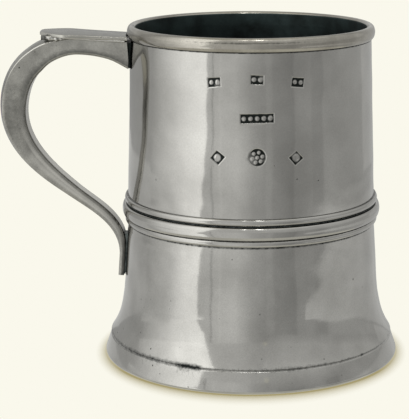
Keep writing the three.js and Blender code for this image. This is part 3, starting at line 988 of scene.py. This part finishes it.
# Sizes of the strap along its line: whole numbers are where a stretch starts.
# Each row: place, width, depth, crown of the back at its edges, bulge of the sides, swell of the back.
STRAP_ROWS = (
    (0, 15.8, 9.5, 0.1, 0, 0),
    (0.4, 15.4, 6.55, 0.1, 0, 0),
    (1, 13.6, 5.6, 0.1, 0, 0),
    (1.2, 12.2, 7.2, 0.35, 0.05, 0.7),
    (1.4, 11.2, 8.9, 0.85, 0.1, 0.2),
    (2, 9.8, 9.2, 1, 0.3, 0),
    (3, 7.8, 4.85, 0.5, 0.3, 0),
    (3.7, 8.2, 3.4, 0.1, 0.15, 0),
    (4, 8.4, 2.4, 0.1, 0.1, 0),
    (5, 8.4, 2.4, 0.1, 0.1, 0),
)

# Fineness of the strap: along each stretch of its line, across its sides, its back and its rounded edges
STRAP_STEPS = (10, 44, 40, 30, 8)
SIDE_STEPS = 10
BACK_STEPS = 10
EDGE_STEPS = 6

# Most that the rounding of its inner edges and of its back may take of its depth
EDGE_SHARE = 0.4
BACK_SHARE = 0.2

# Grime, painted shade and painted highlights on the strap: how dark or how bright, and the middle and reach
# of each along its line.
# Places across the sides run from 0 at the inner edge to 1 at the back.
# The rounded inner edges are slightly darkened as painted shade, and the sides are darker in a band beside
# them as far as the loop
INNER_EDGE_SHADE = 0.15
BAND_DARKNESS = 0.4
BAND_END = 2.3
BAND_EASE = 0.6
BAND_WIDTH = 0.46

# Grime darkens the sides of the loop
LOOP_STAIN = 0.37
LOOP_MIDDLE = 2.06
LOOP_REACH = 0.42

# Painted highlights, lighter than the metal: a streak along the neck, a line beside the inner edge and the
# edges of the shoulder's back; the inner face is painted lighter too
NECK_HIGHLIGHT = 0.5
NECK_MIDDLE = 3.15
NECK_REACH = 0.8
NECK_STREAK = 0.3
NECK_SPREAD = 0.45
INNER_EDGE_HIGHLIGHT = 0.4
INNER_MIDDLE = 2.55
INNER_REACH = 0.6
INNER_STREAK = 0.15
INNER_FACE_LIGHT = 0.9
EDGE_HIGHLIGHT = 0.6
SHOULDER_MIDDLE = 1.25
SHOULDER_REACH = 0.45

# Darkening of the heel beside its solder, part solder stain and part painted shade, and a painted highlight
# on the thumb rest's rim
HEEL_DARKNESS = 0.55
HEEL_STAIN_AND_SHADE = 1.4 * MM
RIM_HIGHLIGHT = 0.22

# How far the thumb rest lies above the arm's top line, over what length its nose thins, and the least share
# of its thickness that is left there
THUMB_SEAT = 0.3 * MM
THUMB_NOSE_ROUND = 0.6 * MM
THUMB_NOSE_LEAST = 0.8

# Solder under the thumb rest: fineness, length of its lumps, how uneven they and its skin are, how far it
# stands out from the arm, over what length it swells, how far under the plate its middle lies as a share of
# its radius, and how dark the painted shade at its end under the free end gets and over what length
SOLDER_STEPS = 110
SOLDER_SIDES = 14
SOLDER_LUMP = 1.1 * MM
SOLDER_UNEVEN = 0.6
SOLDER_GRAIN = 0.2
SOLDER_OUT = 0.25 * MM
SOLDER_EASE = 2 * MM
SOLDER_HANG = 0.6
SOLDER_END_SHADE = 0.55
SOLDER_END_SHADE_EASE = 1 * MM

# Seed that gives the skin of that solder the same lumps in every run
SOLDER_SEED = 7

# Solder of the handle's two joints: fineness, and how far its lumps stand out
JOINT_CUTS = 15
JOINT_LUMP = 0.16 * MM


def eased(value):
    """Rises smoothly from 0 to 1 as the value does."""
    value = min(1, max(0, value))
    return value * value * (3 - 2 * value)


def strap_sizes(at):
    """Width, depth, crown, bulge and swell at a place along the strap, eased between the rows."""
    index = max(i for i, row in enumerate(STRAP_ROWS[:-1]) if row[0] <= at)
    before, start, end, after = (
        STRAP_ROWS[min(max(index + offset, 0), len(STRAP_ROWS) - 1)] for offset in (-1, 0, 1, 2))
    span = end[0] - start[0]
    along = (at - start[0]) / span
    values = []
    for column in range(1, len(start)):
        slope_in = (end[column] - before[column]) / (end[0] - before[0]) * span
        slope_out = (after[column] - start[column]) / (after[0] - start[0]) * span
        value = between(start[column], end[column], eased(along))
        value += slope_in * along * (1 - along) ** 2 - slope_out * along ** 2 * (1 - along)
        values.append(value * MM)
    return values


def strap_section(at):
    """Half of the strap's section, from the middle of its inner face round to the middle of its back."""
    width, depth, crown, bulge, swell = strap_sizes(at)
    sizes = handle_sizes()
    half = width / 2 - bulge
    edge = min(sizes.inner_edge, depth * EDGE_SHARE)
    back = min(sizes.back_edge, depth * BACK_SHARE)
    side_low, side_high = edge - depth, -crown - back
    outline = [((half - edge) * step / EDGE_STEPS, -depth) for step in range(EDGE_STEPS)]
    for step in range(EDGE_STEPS + 1):
        turn = math.radians(90 * step / EDGE_STEPS)
        outline.append((half - edge + edge * math.sin(turn), side_low - edge * math.cos(turn)))
    for step in range(1, SIDE_STEPS):
        along = step / SIDE_STEPS
        belly = bulge * math.sin(math.pi * along)
        outline.append((half + belly, between(side_low, side_high, along)))
    for step in range(EDGE_STEPS + 1):
        turn = math.radians(90 * step / EDGE_STEPS)
        outline.append((half - back + back * math.cos(turn), side_high + back * math.sin(turn)))
    for step in range(1, BACK_STEPS + 1):
        across = (half - back) * (1 - step / BACK_STEPS)
        outline.append((across, swell - (crown + swell) * (across / (half - back)) ** 2))
    return outline


def mirrored(section):
    """A half section and its mirror image, as one ring of (across, up) points."""
    return section + [(-across, up) for across, up in reversed(section[1:-1])]


def ring_of(section, start, tangent):
    """The section, mirrored to a full ring, set across the strap's line at a point."""
    outward = Vector((tangent.z, 0, -tangent.x))
    return [start + outward * up + Vector((0, -across, 0)) for across, up in mirrored(section)]


def skin(rings):
    """Carries a loop of vertices from ring to ring and closes both ends."""
    mesh = bmesh.new()
    loop = bmesh.ops.create_circle(mesh, segments=len(rings[0]), radius=MM)["verts"]
    for vertex, point in zip(loop, rings[0]):
        vertex.co = point
    edges = list(mesh.edges)
    bmesh.ops.contextual_create(mesh, geom=edges)
    for ring in rings[1:]:
        made = bmesh.ops.extrude_edge_only(mesh, edges=edges)["geom"]
        edges = [item for item in made if isinstance(item, bmesh.types.BMEdge)]
        fresh = [item for item in made if isinstance(item, bmesh.types.BMVert)]
        for vertex, point in zip(fresh, ring):
            vertex.co = point
    bmesh.ops.contextual_create(mesh, geom=edges)
    return mesh


def paint_rings(mesh, shades):
    """Stores the oxide, painted shade and painted highlights of a skinned mesh's vertices, ring by ring."""
    layer = patina_and_light_layer(mesh)
    for vertex, shade in zip(mesh.verts, shades):
        vertex[layer] = shade


def seat_on(mesh, radius, chosen):
    """Presses the chosen vertices back to a round seat about the drum's axis."""
    for vertex in mesh.verts:
        run = math.sqrt(max(0, radius(vertex.co.z) ** 2 - vertex.co.y ** 2))
        if chosen(vertex.co) and AXIS_X - vertex.co.x < run:
            vertex.co.x = AXIS_X - run


def strap_rings():
    """Points of the strap's rings from the root to the tab, and the oxide, painted shade and painted
    highlights at each of them.
    """
    rings, shades = [], []
    for stretch, (knot, handle, next_handle, next_knot) in enumerate(strap_line()):
        steps = STRAP_STEPS[stretch]
        points = interpolate_bezier(knot, handle, next_handle, next_knot, steps + 1)
        for step in range(1 if stretch else 0, steps + 1):
            before, after = points[max(step - 1, 0)], points[min(step + 1, steps)]
            tangent = (after - before).normalized()
            at = stretch + step / steps
            rings.append(ring_of(strap_section(at), points[step], tangent))
            shades += strap_shades(at)
    return rings, shades


def hump(at, middle, reach):
    """Rises from 0 to 1 and back over a reach on both sides of a middle."""
    return max(0, 1 - ((at - middle) / reach) ** 2)


def side_shade(at, across):
    """Grime, a darker band and painted highlights on the strap's sides at a place along it, from 0 at the
    inner edge to 1 at the back.
    """
    band = BAND_DARKNESS * eased((BAND_END - at) / BAND_EASE) * (1 - across / BAND_WIDTH)
    grime = LOOP_STAIN * hump(at, LOOP_MIDDLE, LOOP_REACH) * math.sqrt(across)
    neck_highlight = NECK_HIGHLIGHT * hump(at, NECK_MIDDLE, NECK_REACH) * hump(across, NECK_STREAK, NECK_SPREAD)
    inner_highlight = INNER_EDGE_HIGHLIGHT * hump(at, INNER_MIDDLE, INNER_REACH) * hump(across, INNER_STREAK, INNER_STREAK)
    return max(band, grime) - neck_highlight - inner_highlight


def strap_shades(at):
    """Darkening round the strap's section: painted shade on its inner edges, grime and a darker band on its
    sides; painted highlights are less than 0.
    """
    side_start = 2 * EDGE_STEPS
    side_end = side_start + SIDE_STEPS
    edge_highlight = EDGE_HIGHLIGHT * hump(at, SHOULDER_MIDDLE, SHOULDER_REACH)
    shades = []
    for index in range(len(strap_section(at))):
        shade = 0
        # The inner face is painted lighter, the rounded inner edges get painted shade and the shoulder's back
        # edges a painted highlight
        if index < EDGE_STEPS:
            shade = -INNER_FACE_LIGHT
        elif index < side_start:
            shade = INNER_EDGE_SHADE
        elif index < side_end:
            shade = side_shade(at, (index - side_start) / SIDE_STEPS)
        elif side_end < index < side_end + EDGE_STEPS:
            shade = -edge_highlight
        shades.append(shade)
    return shades + shades[-2:0:-1]


def heel_shade(point):
    """Darkening where the strap comes down onto the skirt and where its solder ran, part solder stain and
    part painted shade.
    """
    if point.z > GIRDLE_BOTTOM:
        return 0
    gap = distance_from_axis(point) - tab_seat(point.z)
    return HEEL_DARKNESS * max(0, 1 - gap / HEEL_STAIN_AND_SHADE)


def make_strap():
    """The cast strap, carried along its back line, with its root and tab fitted to the drums."""
    sizes = handle_sizes()
    rings, shades = strap_rings()
    mesh = skin(rings)
    paint_rings(mesh, shades)
    seat_on(mesh, arm_seat, lambda point: point.z > sizes.back_height)
    seat_on(mesh, tab_seat, lambda point: point.z < GIRDLE_BOTTOM)
    paint_patina_and_shade(mesh, heel_shade)
    bmesh.ops.remove_doubles(mesh, verts=mesh.verts, dist=MERGE_DISTANCE)
    finish_piece("strap", mesh, "cast_pewter", (sand_cast_pewter(),), "handle_strap")


def thumb_outline():
    """Half of the plate's outline from the root to the corner of the nose, as (run, half width)."""
    sizes = handle_sizes()
    end = sizes.upper_joint + sizes.thumb_length
    swell = end - sizes.thumb_swell
    taper = swell + sizes.thumb_swell * sizes.thumb_point
    root, middle = Vector((0, sizes.thumb_root / 2)), Vector((swell / 2, sizes.thumb_root / 2))
    wide, corner = Vector((swell, sizes.thumb_width / 2)), Vector((taper, sizes.thumb_width / 2))
    nose = Vector((end, sizes.thumb_nose / 2))
    return bend(root, middle, wide, ARC_STEPS) + bend(wide, corner, nose, ARC_STEPS)[1:]


def thumb_section(half, thinning):
    """Half of the plate's section, from the middle of its underside round to the middle of its top."""
    sizes = handle_sizes()
    edge, rim = sizes.thumb_edge * thinning, sizes.thumb_rim * thinning
    sink = (sizes.thumb_rim - rim) / 2
    crown = sizes.thumb_crown * half / (sizes.thumb_width / 2) * thinning
    section = [(0, sink), ((half - edge) / 2, sink)]
    for step in range(EDGE_STEPS + 1):
        turn = math.radians(180 * step / EDGE_STEPS - 90)
        level = sink + edge if turn < 0 else sink + rim - edge
        section.append((half - edge + edge * math.cos(turn), level + edge * math.sin(turn)))
    for step in range(1, BACK_STEPS + 1):
        across = (half - edge) * (1 - step / BACK_STEPS)
        section.append((across, sink + rim + crown * (1 - (across / (half - edge)) ** 2)))
    return section


def thumb_plane():
    """Places the plate's own frame on top of the arm, at its own slope."""
    seat = Matrix.Translation(place(upper_radius(arm_top()), arm_top() + THUMB_SEAT))
    return seat @ Matrix.Rotation(handle_sizes().thumb_climb, 4, "Y")


def make_thumb_rest():
    """A spoon-shaped plate along the top of the arm, domed on top and thin at its rim."""
    sizes = handle_sizes()
    end = sizes.upper_joint + sizes.thumb_length
    rings = []
    for run, half in thumb_outline():
        close = max(0, 1 - (end - run) / THUMB_NOSE_ROUND)
        thinning = max(THUMB_NOSE_LEAST, math.sqrt(1 - close ** 2))
        section = mirrored(thumb_section(half, thinning))
        rings.append([thumb_plane() @ Vector((-run, -across, up)) for across, up in section])
    mesh = skin(rings)
    # The plate's rounded rim gets a painted highlight
    half_shades = [0, 0] + [-RIM_HIGHLIGHT] * (EDGE_STEPS + 1) + [0] * BACK_STEPS
    paint_rings(mesh, (half_shades + half_shades[-2:0:-1]) * len(rings))
    seat_on(mesh, arm_seat, lambda point: True)
    bmesh.ops.remove_doubles(mesh, verts=mesh.verts, dist=MERGE_DISTANCE)
    finish_piece("thumb_plate", mesh, "cast_pewter", (sand_cast_pewter(),), "thumb_rest")


def make_thumb_solder(name, side):
    """A run of solder along one edge of the arm under the plate, thick and lumpy under the free end, where
    its end is darkened with painted shade.
    """
    sizes = handle_sizes()
    start = sizes.upper_joint
    rings = []
    for step in range(SOLDER_STEPS + 1):
        run = start + (sizes.solder_end - start) * step / SOLDER_STEPS
        width = strap_sizes(min(run / sizes.crest_run, 1))[0]
        swell = eased((run - sizes.solder_swell) / SOLDER_EASE)
        lump = 1 + SOLDER_UNEVEN * swell * noise.noise(Vector((run / SOLDER_LUMP, side, 0)))
        radius = lump * between(sizes.solder_thin, sizes.solder_thick, swell)
        middle = thumb_plane() @ Vector((-run, side * (width / 2 + SOLDER_OUT), -SOLDER_HANG * radius))
        turns = [math.tau * turn / SOLDER_SIDES for turn in range(SOLDER_SIDES)]
        spokes = [Vector((0, -math.cos(turn), math.sin(turn))) for turn in turns]
        rings.append([middle + radius * spoke for spoke in spokes])
    mesh = skin(rings)
    noise.seed_set(SOLDER_SEED)
    for vertex in mesh.verts:
        vertex.co += SOLDER_GRAIN * sizes.solder_thin * noise.noise_vector(vertex.co / SOLDER_LUMP)
    # The solder's end under the plate's free end is darkened with painted shade
    shade_start = AXIS_X - upper_radius(arm_top()) - sizes.solder_shade_start
    paint_patina_and_shade(mesh, lambda point: SOLDER_END_SHADE * eased((shade_start - point.x) / SOLDER_END_SHADE_EASE))
    finish_piece(name, mesh, "cast_pewter", (bright_solder(),))


def strap_gap():
    """Distance from the skirt out to the strap's inner face, as a function of height near the heel."""
    inner = [ring[0] for ring in strap_rings()[0]]
    pairs = [pair for pair in zip(inner, inner[1:]) if pair[0].z > pair[1].z]

    def gap_at(height):
        """That distance at a height, never less than the soldered gap."""
        pair = next((pair for pair in reversed(pairs) if pair[0].z >= height), pairs[0])
        along = (pair[0].z - height) / (pair[0].z - pair[1].z)
        run = AXIS_X - pair[0].lerp(pair[1], min(1, max(0, along))).x
        return max(handle_sizes().lower_joint, run - lower_radius(height))

    return gap_at


def make_joint(name, node, radius_at, gap_at, recess, rise, material):
    """Solder run into the gap between a drum and the handle, lumpy at its open edges.

    It is a cube one unit wide about its middle, whose sides half a unit off come to lie on the handle and on
    the drum.
    """
    lowest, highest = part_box(node)
    top = highest.z + rise
    mesh = bmesh.new()
    bmesh.ops.create_cube(mesh, size=1)
    bmesh.ops.subdivide_edges(mesh, edges=mesh.edges, cuts=JOINT_CUTS, use_grid_fill=True)
    for vertex in mesh.verts:
        across = vertex.co.y * (highest.y - lowest.y - 2 * recess)
        height = (lowest.z + top) / 2 + vertex.co.z * (top - lowest.z)
        radius = radius_at(height) + (1 / 2 - vertex.co.x) * gap_at(height)
        run = math.sqrt(radius ** 2 - across ** 2)
        vertex.co = Vector((AXIS_X - run, across, height))
        lump = noise.noise(vertex.co / SOLDER_LUMP) * JOINT_LUMP
        vertex.co.y += math.copysign(lump, across)
    finish_piece(name, mesh, "dark_solder", (material,), node)


# Studio

class Card(NamedTuple):
    """A glowing card on the ring round the drum, with a value for each of its two ends.

    Turns are degrees round from the front to the right, and lows and highs are the heights of its lower and
    upper edge in metres. It stands at a share of the ring's radius, and its glow may rise or fall by a factor
    towards its upper edge.
    """
    name: str
    turns: tuple
    glows: tuple
    lows: tuple
    highs: tuple
    away: float = 1
    rise: float = 1


# Edges that several cards have, below and above the floor
BELOW = (-0.7, -0.7)
LEFT_BELOW = (-0.09, -0.09)
SIDE_TOP = (0.1, 0.1)
WALL_TOP = (0.2, 0.2)
RIGHT_TOP = (0.26, 0.26)
LAMP_FOOT = (1.65, 1.65)
ROOF = (1.7, 1.7)

# Share of the ring's radius at which low cards stand closer to the drum, and edges that several of them have
NEAR_RING = 0.4
NEAR_LEFT = (-0.05, -0.05)
NEAR_RIGHT = (-0.1, -0.1)
SHADE_EDGE = (-0.02, -0.016)
TURN_EDGE = (-0.016, -0.014)
SLANT_EDGE = (-0.034, -0.008)
BOUNCE_EDGE = (-0.008, -0.018)

CARDS = (
    Card("rear_left", (-180, -141), (0.29, 0.53), LEFT_BELOW, WALL_TOP),
    Card("handle_side", (-141, -104), (0.55, 0.73), LEFT_BELOW, WALL_TOP),
    Card("left_bounce", (-180, -104), (0.57, 0.88), BELOW, (0, 0), away=1.06),
    Card("softbox_far", (-104, -60), (0.72, 1.88), BELOW, WALL_TOP),
    Card("softbox_near", (-60, -40.8), (1.88, 2.15), BELOW, WALL_TOP),
    Card("softbox_shade", (-104, -74), (0.8, 1.12), NEAR_LEFT, SHADE_EDGE, away=NEAR_RING),
    Card("softbox_shade_edge", (-104, -74), (0.8, 1.12), SHADE_EDGE, (-0.004, 0), away=NEAR_RING, rise=1.2),
    Card("softbox_turn", (-74, -57), (1.12, 1.85), NEAR_LEFT, TURN_EDGE, away=NEAR_RING),
    Card("softbox_turn_edge", (-74, -57), (1.12, 1.85), TURN_EDGE, (0, 0.002), away=NEAR_RING, rise=1.2),
    Card("softbox_corner", (-40.8, -36.4), (2.15, 2.3), (0, 0.34), ROOF, away=0.985),
    Card("softbox_flag", (-45, -38.8), (1.05, 1.08), NEAR_LEFT, (-0.014, 0.04), away=NEAR_RING),
    Card("softbox_frame", (-40.8, -35.2), (1.1, 1.1), BELOW, WALL_TOP),
    Card("softbox_gap", (-35.2, -34.1), (0.6, 0.6), BELOW, WALL_TOP),
    Card("front_screen", (-34.1, -12), (1.14, 1.14), BELOW, WALL_TOP),
    Card("front_streak", (-28, -26.6), (1.26, 1.26), BELOW, WALL_TOP, away=0.99),
    Card("front_fall", (-12, 0), (1.11, 0.83), BELOW, WALL_TOP),
    Card("front_dusk", (0, 13), (0.81, 0.65), BELOW, WALL_TOP),
    Card("front_glint", (13, 19), (0.72, 0.69), BELOW, SIDE_TOP),
    Card("front_shade", (19, 39.5), (0.62, 0.5), BELOW, SIDE_TOP),
    Card("right_panel", (39.5, 57), (0.6, 0.64), BELOW, SIDE_TOP),
    Card("right_gap", (57, 69), (0.58, 0.56), BELOW, SIDE_TOP),
    Card("right_side", (69, 126), (0.65, 0.68), BELOW, SIDE_TOP),
    Card("rear_right", (126, 180), (0.8, 0.4), BELOW, WALL_TOP),
    Card("right_slant", (46, 70), (0.93, 0.93), NEAR_RIGHT, SLANT_EDGE, away=NEAR_RING),
    Card("right_slant_edge", (46, 70), (0.93, 0.93), SLANT_EDGE, (-0.026, 0.004), away=NEAR_RING, rise=0.68),
    Card("right_bounce", (70, 150), (0.94, 0.66), NEAR_RIGHT, BOUNCE_EDGE, away=NEAR_RING),
    Card("right_bounce_edge", (70, 150), (0.94, 0.66), BOUNCE_EDGE, (0.004, -0.006),
         away=NEAR_RING, rise=0.7),
    Card("right_rise", (13, 126), (0.63, 0.62), SIDE_TOP, RIGHT_TOP, rise=1.28),
    Card("rear_left_top", (-180, -122), (0.6, 0.85), WALL_TOP, ROOF),
    Card("handle_top", (-122, -104), (0.62, 0.75), WALL_TOP, ROOF),
    Card("softbox_top_far", (-104, -66), (0.85, 1.9), WALL_TOP, ROOF, rise=1.1),
    Card("softbox_top_near", (-66, -40.8), (2.02, 2.28), WALL_TOP, ROOF, rise=1.15),
    Card("front_top", (-40.8, 10), (1.2, 0.8), WALL_TOP, ROOF, away=1.01),
    Card("right_top", (10, 126), (0.8, 0.8), RIGHT_TOP, ROOF, rise=1.3),
    Card("rear_right_top", (126, 180), (0.66, 0.7), WALL_TOP, ROOF),
    Card("ceiling", (-33, 126), (1.3, 1.15), (1.2, 1.2), (2.4, 2.4), away=0.98),
    Card("key_lamp", (9, 16), (10, 10), LAMP_FOOT, (4, 4), away=0.97),
    Card("fill_lamp", (-11.5, -7.5), (9, 9), LAMP_FOOT, (3, 3), away=0.97),
)

# Fineness of a card, how far past its end a vertex may lie by rounding as a share of its length, and its tint
CARD_STEPS = 24
CARD_SLACK = 0.02
CARD_TINT = "#fffffc"

# Floor: its size in metres, the fineness of its contact shadow, how open to the sky it still is where that
# shadow is deepest, and how squarely in front of the foot the shadow reaches its front depth
FLOOR_SIZE = 6
SHADOW_SAMPLES = 16
SHADOW_OPENNESS = 0.6
FRONT_SHARE = 0.3


def studio_card_glow():
    """Diffused studio panel: a soft glow that changes evenly from edge to edge."""
    material, tree = new_material("diffused_panel")
    glow = add(tree, "Attribute", {"attribute_name": "glow"}, {}).outputs["Fac"]
    light = add(tree, "Emission", {}, {"Color": opaque(linear(CARD_TINT)), "Strength": glow})
    add(tree, "OutputMaterial", {}, {"Surface": light})
    return material


def make_card(card, material):
    """A glowing strip, bent round the drum's axis, that the camera itself doesn't see."""
    mesh = bmesh.new()
    start, end = card.turns
    distance = studio().card_distance * card.away
    turn = math.radians(start)
    foot = Vector((AXIS_X + distance * math.sin(turn), -distance * math.cos(turn), 0))
    corners = [mesh.verts.new(foot), mesh.verts.new(foot + Vector((0, 0, 1)))]
    edge = mesh.edges.new(corners)
    bmesh.ops.spin(
        mesh, geom=corners + [edge], cent=(AXIS_X, 0, 0), axis=(0, 0, 1),
        angle=math.radians(end - start), steps=CARD_STEPS)
    layer = mesh.verts.layers.float.new("glow")
    for vertex in mesh.verts:
        along = (front_angle(vertex.co) - start) % 360 / (end - start)
        along = 0 if along > 1 + CARD_SLACK else along
        upper = vertex.co.z > 0
        vertex[layer] = between(*card.glows, along) * (card.rise if upper else 1)
        vertex.co.z = between(*(card.highs if upper else card.lows), along)
    panel = stage_object(card.name, mesh, material)
    panel.visible_camera = False
    panel.visible_shadow = False


def stage_object(name, mesh, material):
    """Makes the mesh an object of the studio."""
    data = bpy.data.meshes.new(name)
    mesh.to_mesh(data)
    mesh.free()
    data.materials.append(material)
    made = bpy.data.objects.new(name, data)
    bpy.context.scene.collection.objects.link(made)
    return made


def backdrop_paper():
    """Cream paper: flat and even, darkened only close beside the foot."""
    material, tree = new_material("backdrop_paper")
    cream = opaque(finishes().backdrop)
    spot = add(tree, "TexCoord", {}, {}).outputs["Object"]
    offset = add(tree, "VectorMath", {"operation": "SUBTRACT"}, {0: spot, 1: (AXIS_X, 0, 0)})
    heading = add(tree, "VectorMath", {"operation": "NORMALIZE"}, {0: offset})
    ahead = add(tree, "SeparateXYZ", {}, {0: heading}).outputs["Y"]
    front = add(tree, "Math", {"operation": "POWER"}, {0: ahead, 1: 2})
    reach = add(tree, "MapRange", {}, {
        "Value": front, "To Min": studio().side_reach, "To Max": studio().shadow_reach})
    near = add(tree, "AmbientOcclusion", {"samples": SHADOW_SAMPLES}, {"Distance": reach}).outputs["AO"]
    hidden = add(tree, "MapRange", {}, {
        "Value": near, "From Min": SHADOW_OPENNESS, "From Max": 1, "To Min": 1, "To Max": 0})
    depth = add(tree, "MapRange", {}, {
        "Value": front, "From Max": FRONT_SHARE,
        "To Min": studio().side_shadow, "To Max": studio().front_shadow})
    shade = add(tree, "Math", {"operation": "MULTIPLY"}, {0: hidden, 1: depth})
    tone = add(tree, "MixRGB", {}, {
        "Fac": shade, "Color1": cream, "Color2": opaque(finishes().shadow)})
    seen = add(tree, "Emission", {}, {"Color": tone, "Strength": 1})
    paper = add(tree, "BsdfDiffuse", {}, {"Color": cream})
    path = add(tree, "LightPath", {}, {}).outputs
    direct = add(tree, "Math", {"operation": "MAXIMUM"}, {
        0: path["Is Camera Ray"], 1: path["Is Glossy Ray"]})
    shown = add(tree, "Math", {"operation": "MAXIMUM"}, {
        0: direct, 1: path["Is Transmission Ray"]})
    both = add(tree, "MixShader", {}, {0: shown, 1: paper, 2: seen})
    add(tree, "OutputMaterial", {}, {"Surface": both})
    return material


def make_floor():
    """A wide paper floor that the metal doesn't mirror, because the cards stand in for it."""
    mesh = bmesh.new()
    bmesh.ops.create_grid(mesh, x_segments=1, y_segments=1, size=FLOOR_SIZE / 2)
    floor = stage_object("studio_floor", mesh, backdrop_paper())
    floor.visible_glossy = False


def make_world():
    """Even cream surroundings, as pale as the floor."""
    world = bpy.data.worlds.new("studio_world")
    world.use_nodes = True
    world.node_tree.nodes.clear()
    sky = add(world.node_tree, "Background", {}, {
        "Color": opaque(finishes().backdrop), "Strength": 1})
    add(world.node_tree, "OutputWorld", {}, {"Surface": sky})
    bpy.context.scene.world = world


def make_camera():
    """A long lens in front of the drum, that looks slightly down at it."""
    settings = studio()
    lens = bpy.data.cameras.new("studio_camera")
    lens.lens = settings.lens
    lens.shift_x = settings.shift
    camera = bpy.data.objects.new("studio_camera", lens)
    camera.location = (AXIS_X, -settings.camera_back, settings.camera_height)
    camera.rotation_euler = (math.pi / 2 - settings.camera_pitch, 0, 0)
    bpy.context.scene.collection.objects.link(camera)
    bpy.context.scene.camera = camera


class TANKARD_OT_stage(bpy.types.Operator):
    """Sets up the camera, the cream floor and the ring of studio cards."""
    bl_idname = "tankard.stage"
    bl_label = "Studio"

    def execute(self, context):
        context.scene.view_settings.view_transform = "Standard"
        make_camera()
        make_world()
        make_floor()
        glow = studio_card_glow()
        for card in CARDS:
            make_card(card, glow)
        return {"FINISHED"}


class TANKARD_OT_lip(bpy.types.Operator):
    """Turns the lip moulding round the mouth."""
    bl_idname = "tankard.lip"
    bl_label = "Lip"

    def execute(self, context):
        make_lip()
        return {"FINISHED"}


class TANKARD_OT_drums(bpy.types.Operator):
    """Turns the upper drum and the flared lower drum."""
    bl_idname = "tankard.drums"
    bl_label = "Drums"

    def execute(self, context):
        make_upper_drum()
        make_lower_drum()
        return {"FINISHED"}


class TANKARD_OT_girdle(bpy.types.Operator):
    """Turns the bead and the two reeds of the girdle, with the solder line between them."""
    bl_idname = "tankard.girdle"
    bl_label = "Girdle"

    def execute(self, context):
        sizes = body_sizes()
        make_moulding("girdle_top_reed", "girdle_upper_reed", sizes.reed_edge)
        make_moulding("girdle_round_bead", "girdle_bead", sizes.bead_edge)
        make_moulding("girdle_low_reed", "girdle_lower_reed", sizes.reed_edge)
        make_seam("girdle_solder_line", "girdle_solder_seam", widest("girdle_solder_seam") - SEAM_SWELL,
                  SEAM_SWELL, 0, rubbed_solder(), groove_shader())
        return {"FINISHED"}


class TANKARD_OT_foot(bpy.types.Operator):
    """Turns the foot, the base let into it and the solder that joins them."""
    bl_idname = "tankard.foot"
    bl_label = "Foot and base"

    def execute(self, context):
        make_foot()
        make_seam("foot_solder_line", "foot_solder_seam", FLARE_RADIUS - SEAM_INSET, 0, SEAM_SINK,
                  worn_pewter(), seam_shade)
        make_base()
        return {"FINISHED"}


class TANKARD_OT_strap(bpy.types.Operator):
    """Carries the strap's section along its back line."""
    bl_idname = "tankard.strap"
    bl_label = "Strap"

    def execute(self, context):
        make_strap()
        return {"FINISHED"}


class TANKARD_OT_thumb_rest(bpy.types.Operator):
    """Lays the spoon-shaped thumb rest along the arm."""
    bl_idname = "tankard.thumb_rest"
    bl_label = "Thumb rest"

    def execute(self, context):
        make_thumb_rest()
        make_thumb_solder("near_thumb_solder", -1)
        make_thumb_solder("far_thumb_solder", 1)
        return {"FINISHED"}


class TANKARD_OT_joints(bpy.types.Operator):
    """Runs solder into the two joints of the handle."""
    bl_idname = "tankard.joints"
    bl_label = "Soldered joints"

    def execute(self, context):
        sizes = handle_sizes()
        make_joint("upper_joint_solder", "upper_handle_solder", upper_radius,
                   upper_gap, sizes.upper_recess, -sizes.upper_gap_top, blackened_solder())
        make_joint("lower_joint_solder", "lower_handle_solder", lower_radius,
                   strap_gap(), sizes.lower_recess, sizes.lower_fillet, rubbed_solder())
        return {"FINISHED"}


OPERATORS = (
    TANKARD_OT_stage,
    TANKARD_OT_lip,
    TANKARD_OT_drums,
    TANKARD_OT_girdle,
    TANKARD_OT_foot,
    TANKARD_OT_strap,
    TANKARD_OT_thumb_rest,
    TANKARD_OT_joints,
)


class TANKARD_PT_pieces(bpy.types.Panel):
    """Lists the steps that make the tankard and its studio."""
    bl_idname = "TANKARD_PT_pieces"
    bl_label = "Pewter tankard"
    bl_space_type = "VIEW_3D"
    bl_region_type = "UI"
    bl_category = "Tankard"

    def draw(self, context):
        for operator in OPERATORS:
            self.layout.operator(operator.bl_idname)


GROUPS = {
    "tankard_body": BodySizes,
    "tankard_handle": HandleSizes,
    "tankard_finishes": Finishes,
    "tankard_studio": Studio,
}
CLASSES = (*GROUPS.values(), *OPERATORS, TANKARD_PT_pieces)


def register():
    """Registers the classes and hangs the settings on the scene."""
    for cls in CLASSES:
        bpy.utils.register_class(cls)
    for name, group in GROUPS.items():
        setattr(bpy.types.Scene, name, bpy.props.PointerProperty(type=group))


def unregister():
    """Takes the settings and the classes away again."""
    for name in GROUPS:
        delattr(bpy.types.Scene, name)
    for cls in reversed(CLASSES):
        bpy.utils.unregister_class(cls)


def main():
    """Makes the stage and every piece."""
    register()
    for operator in OPERATORS:
        getattr(bpy.ops.tankard, operator.bl_idname.split(".")[1])()


if __name__ == "__main__":
    main()
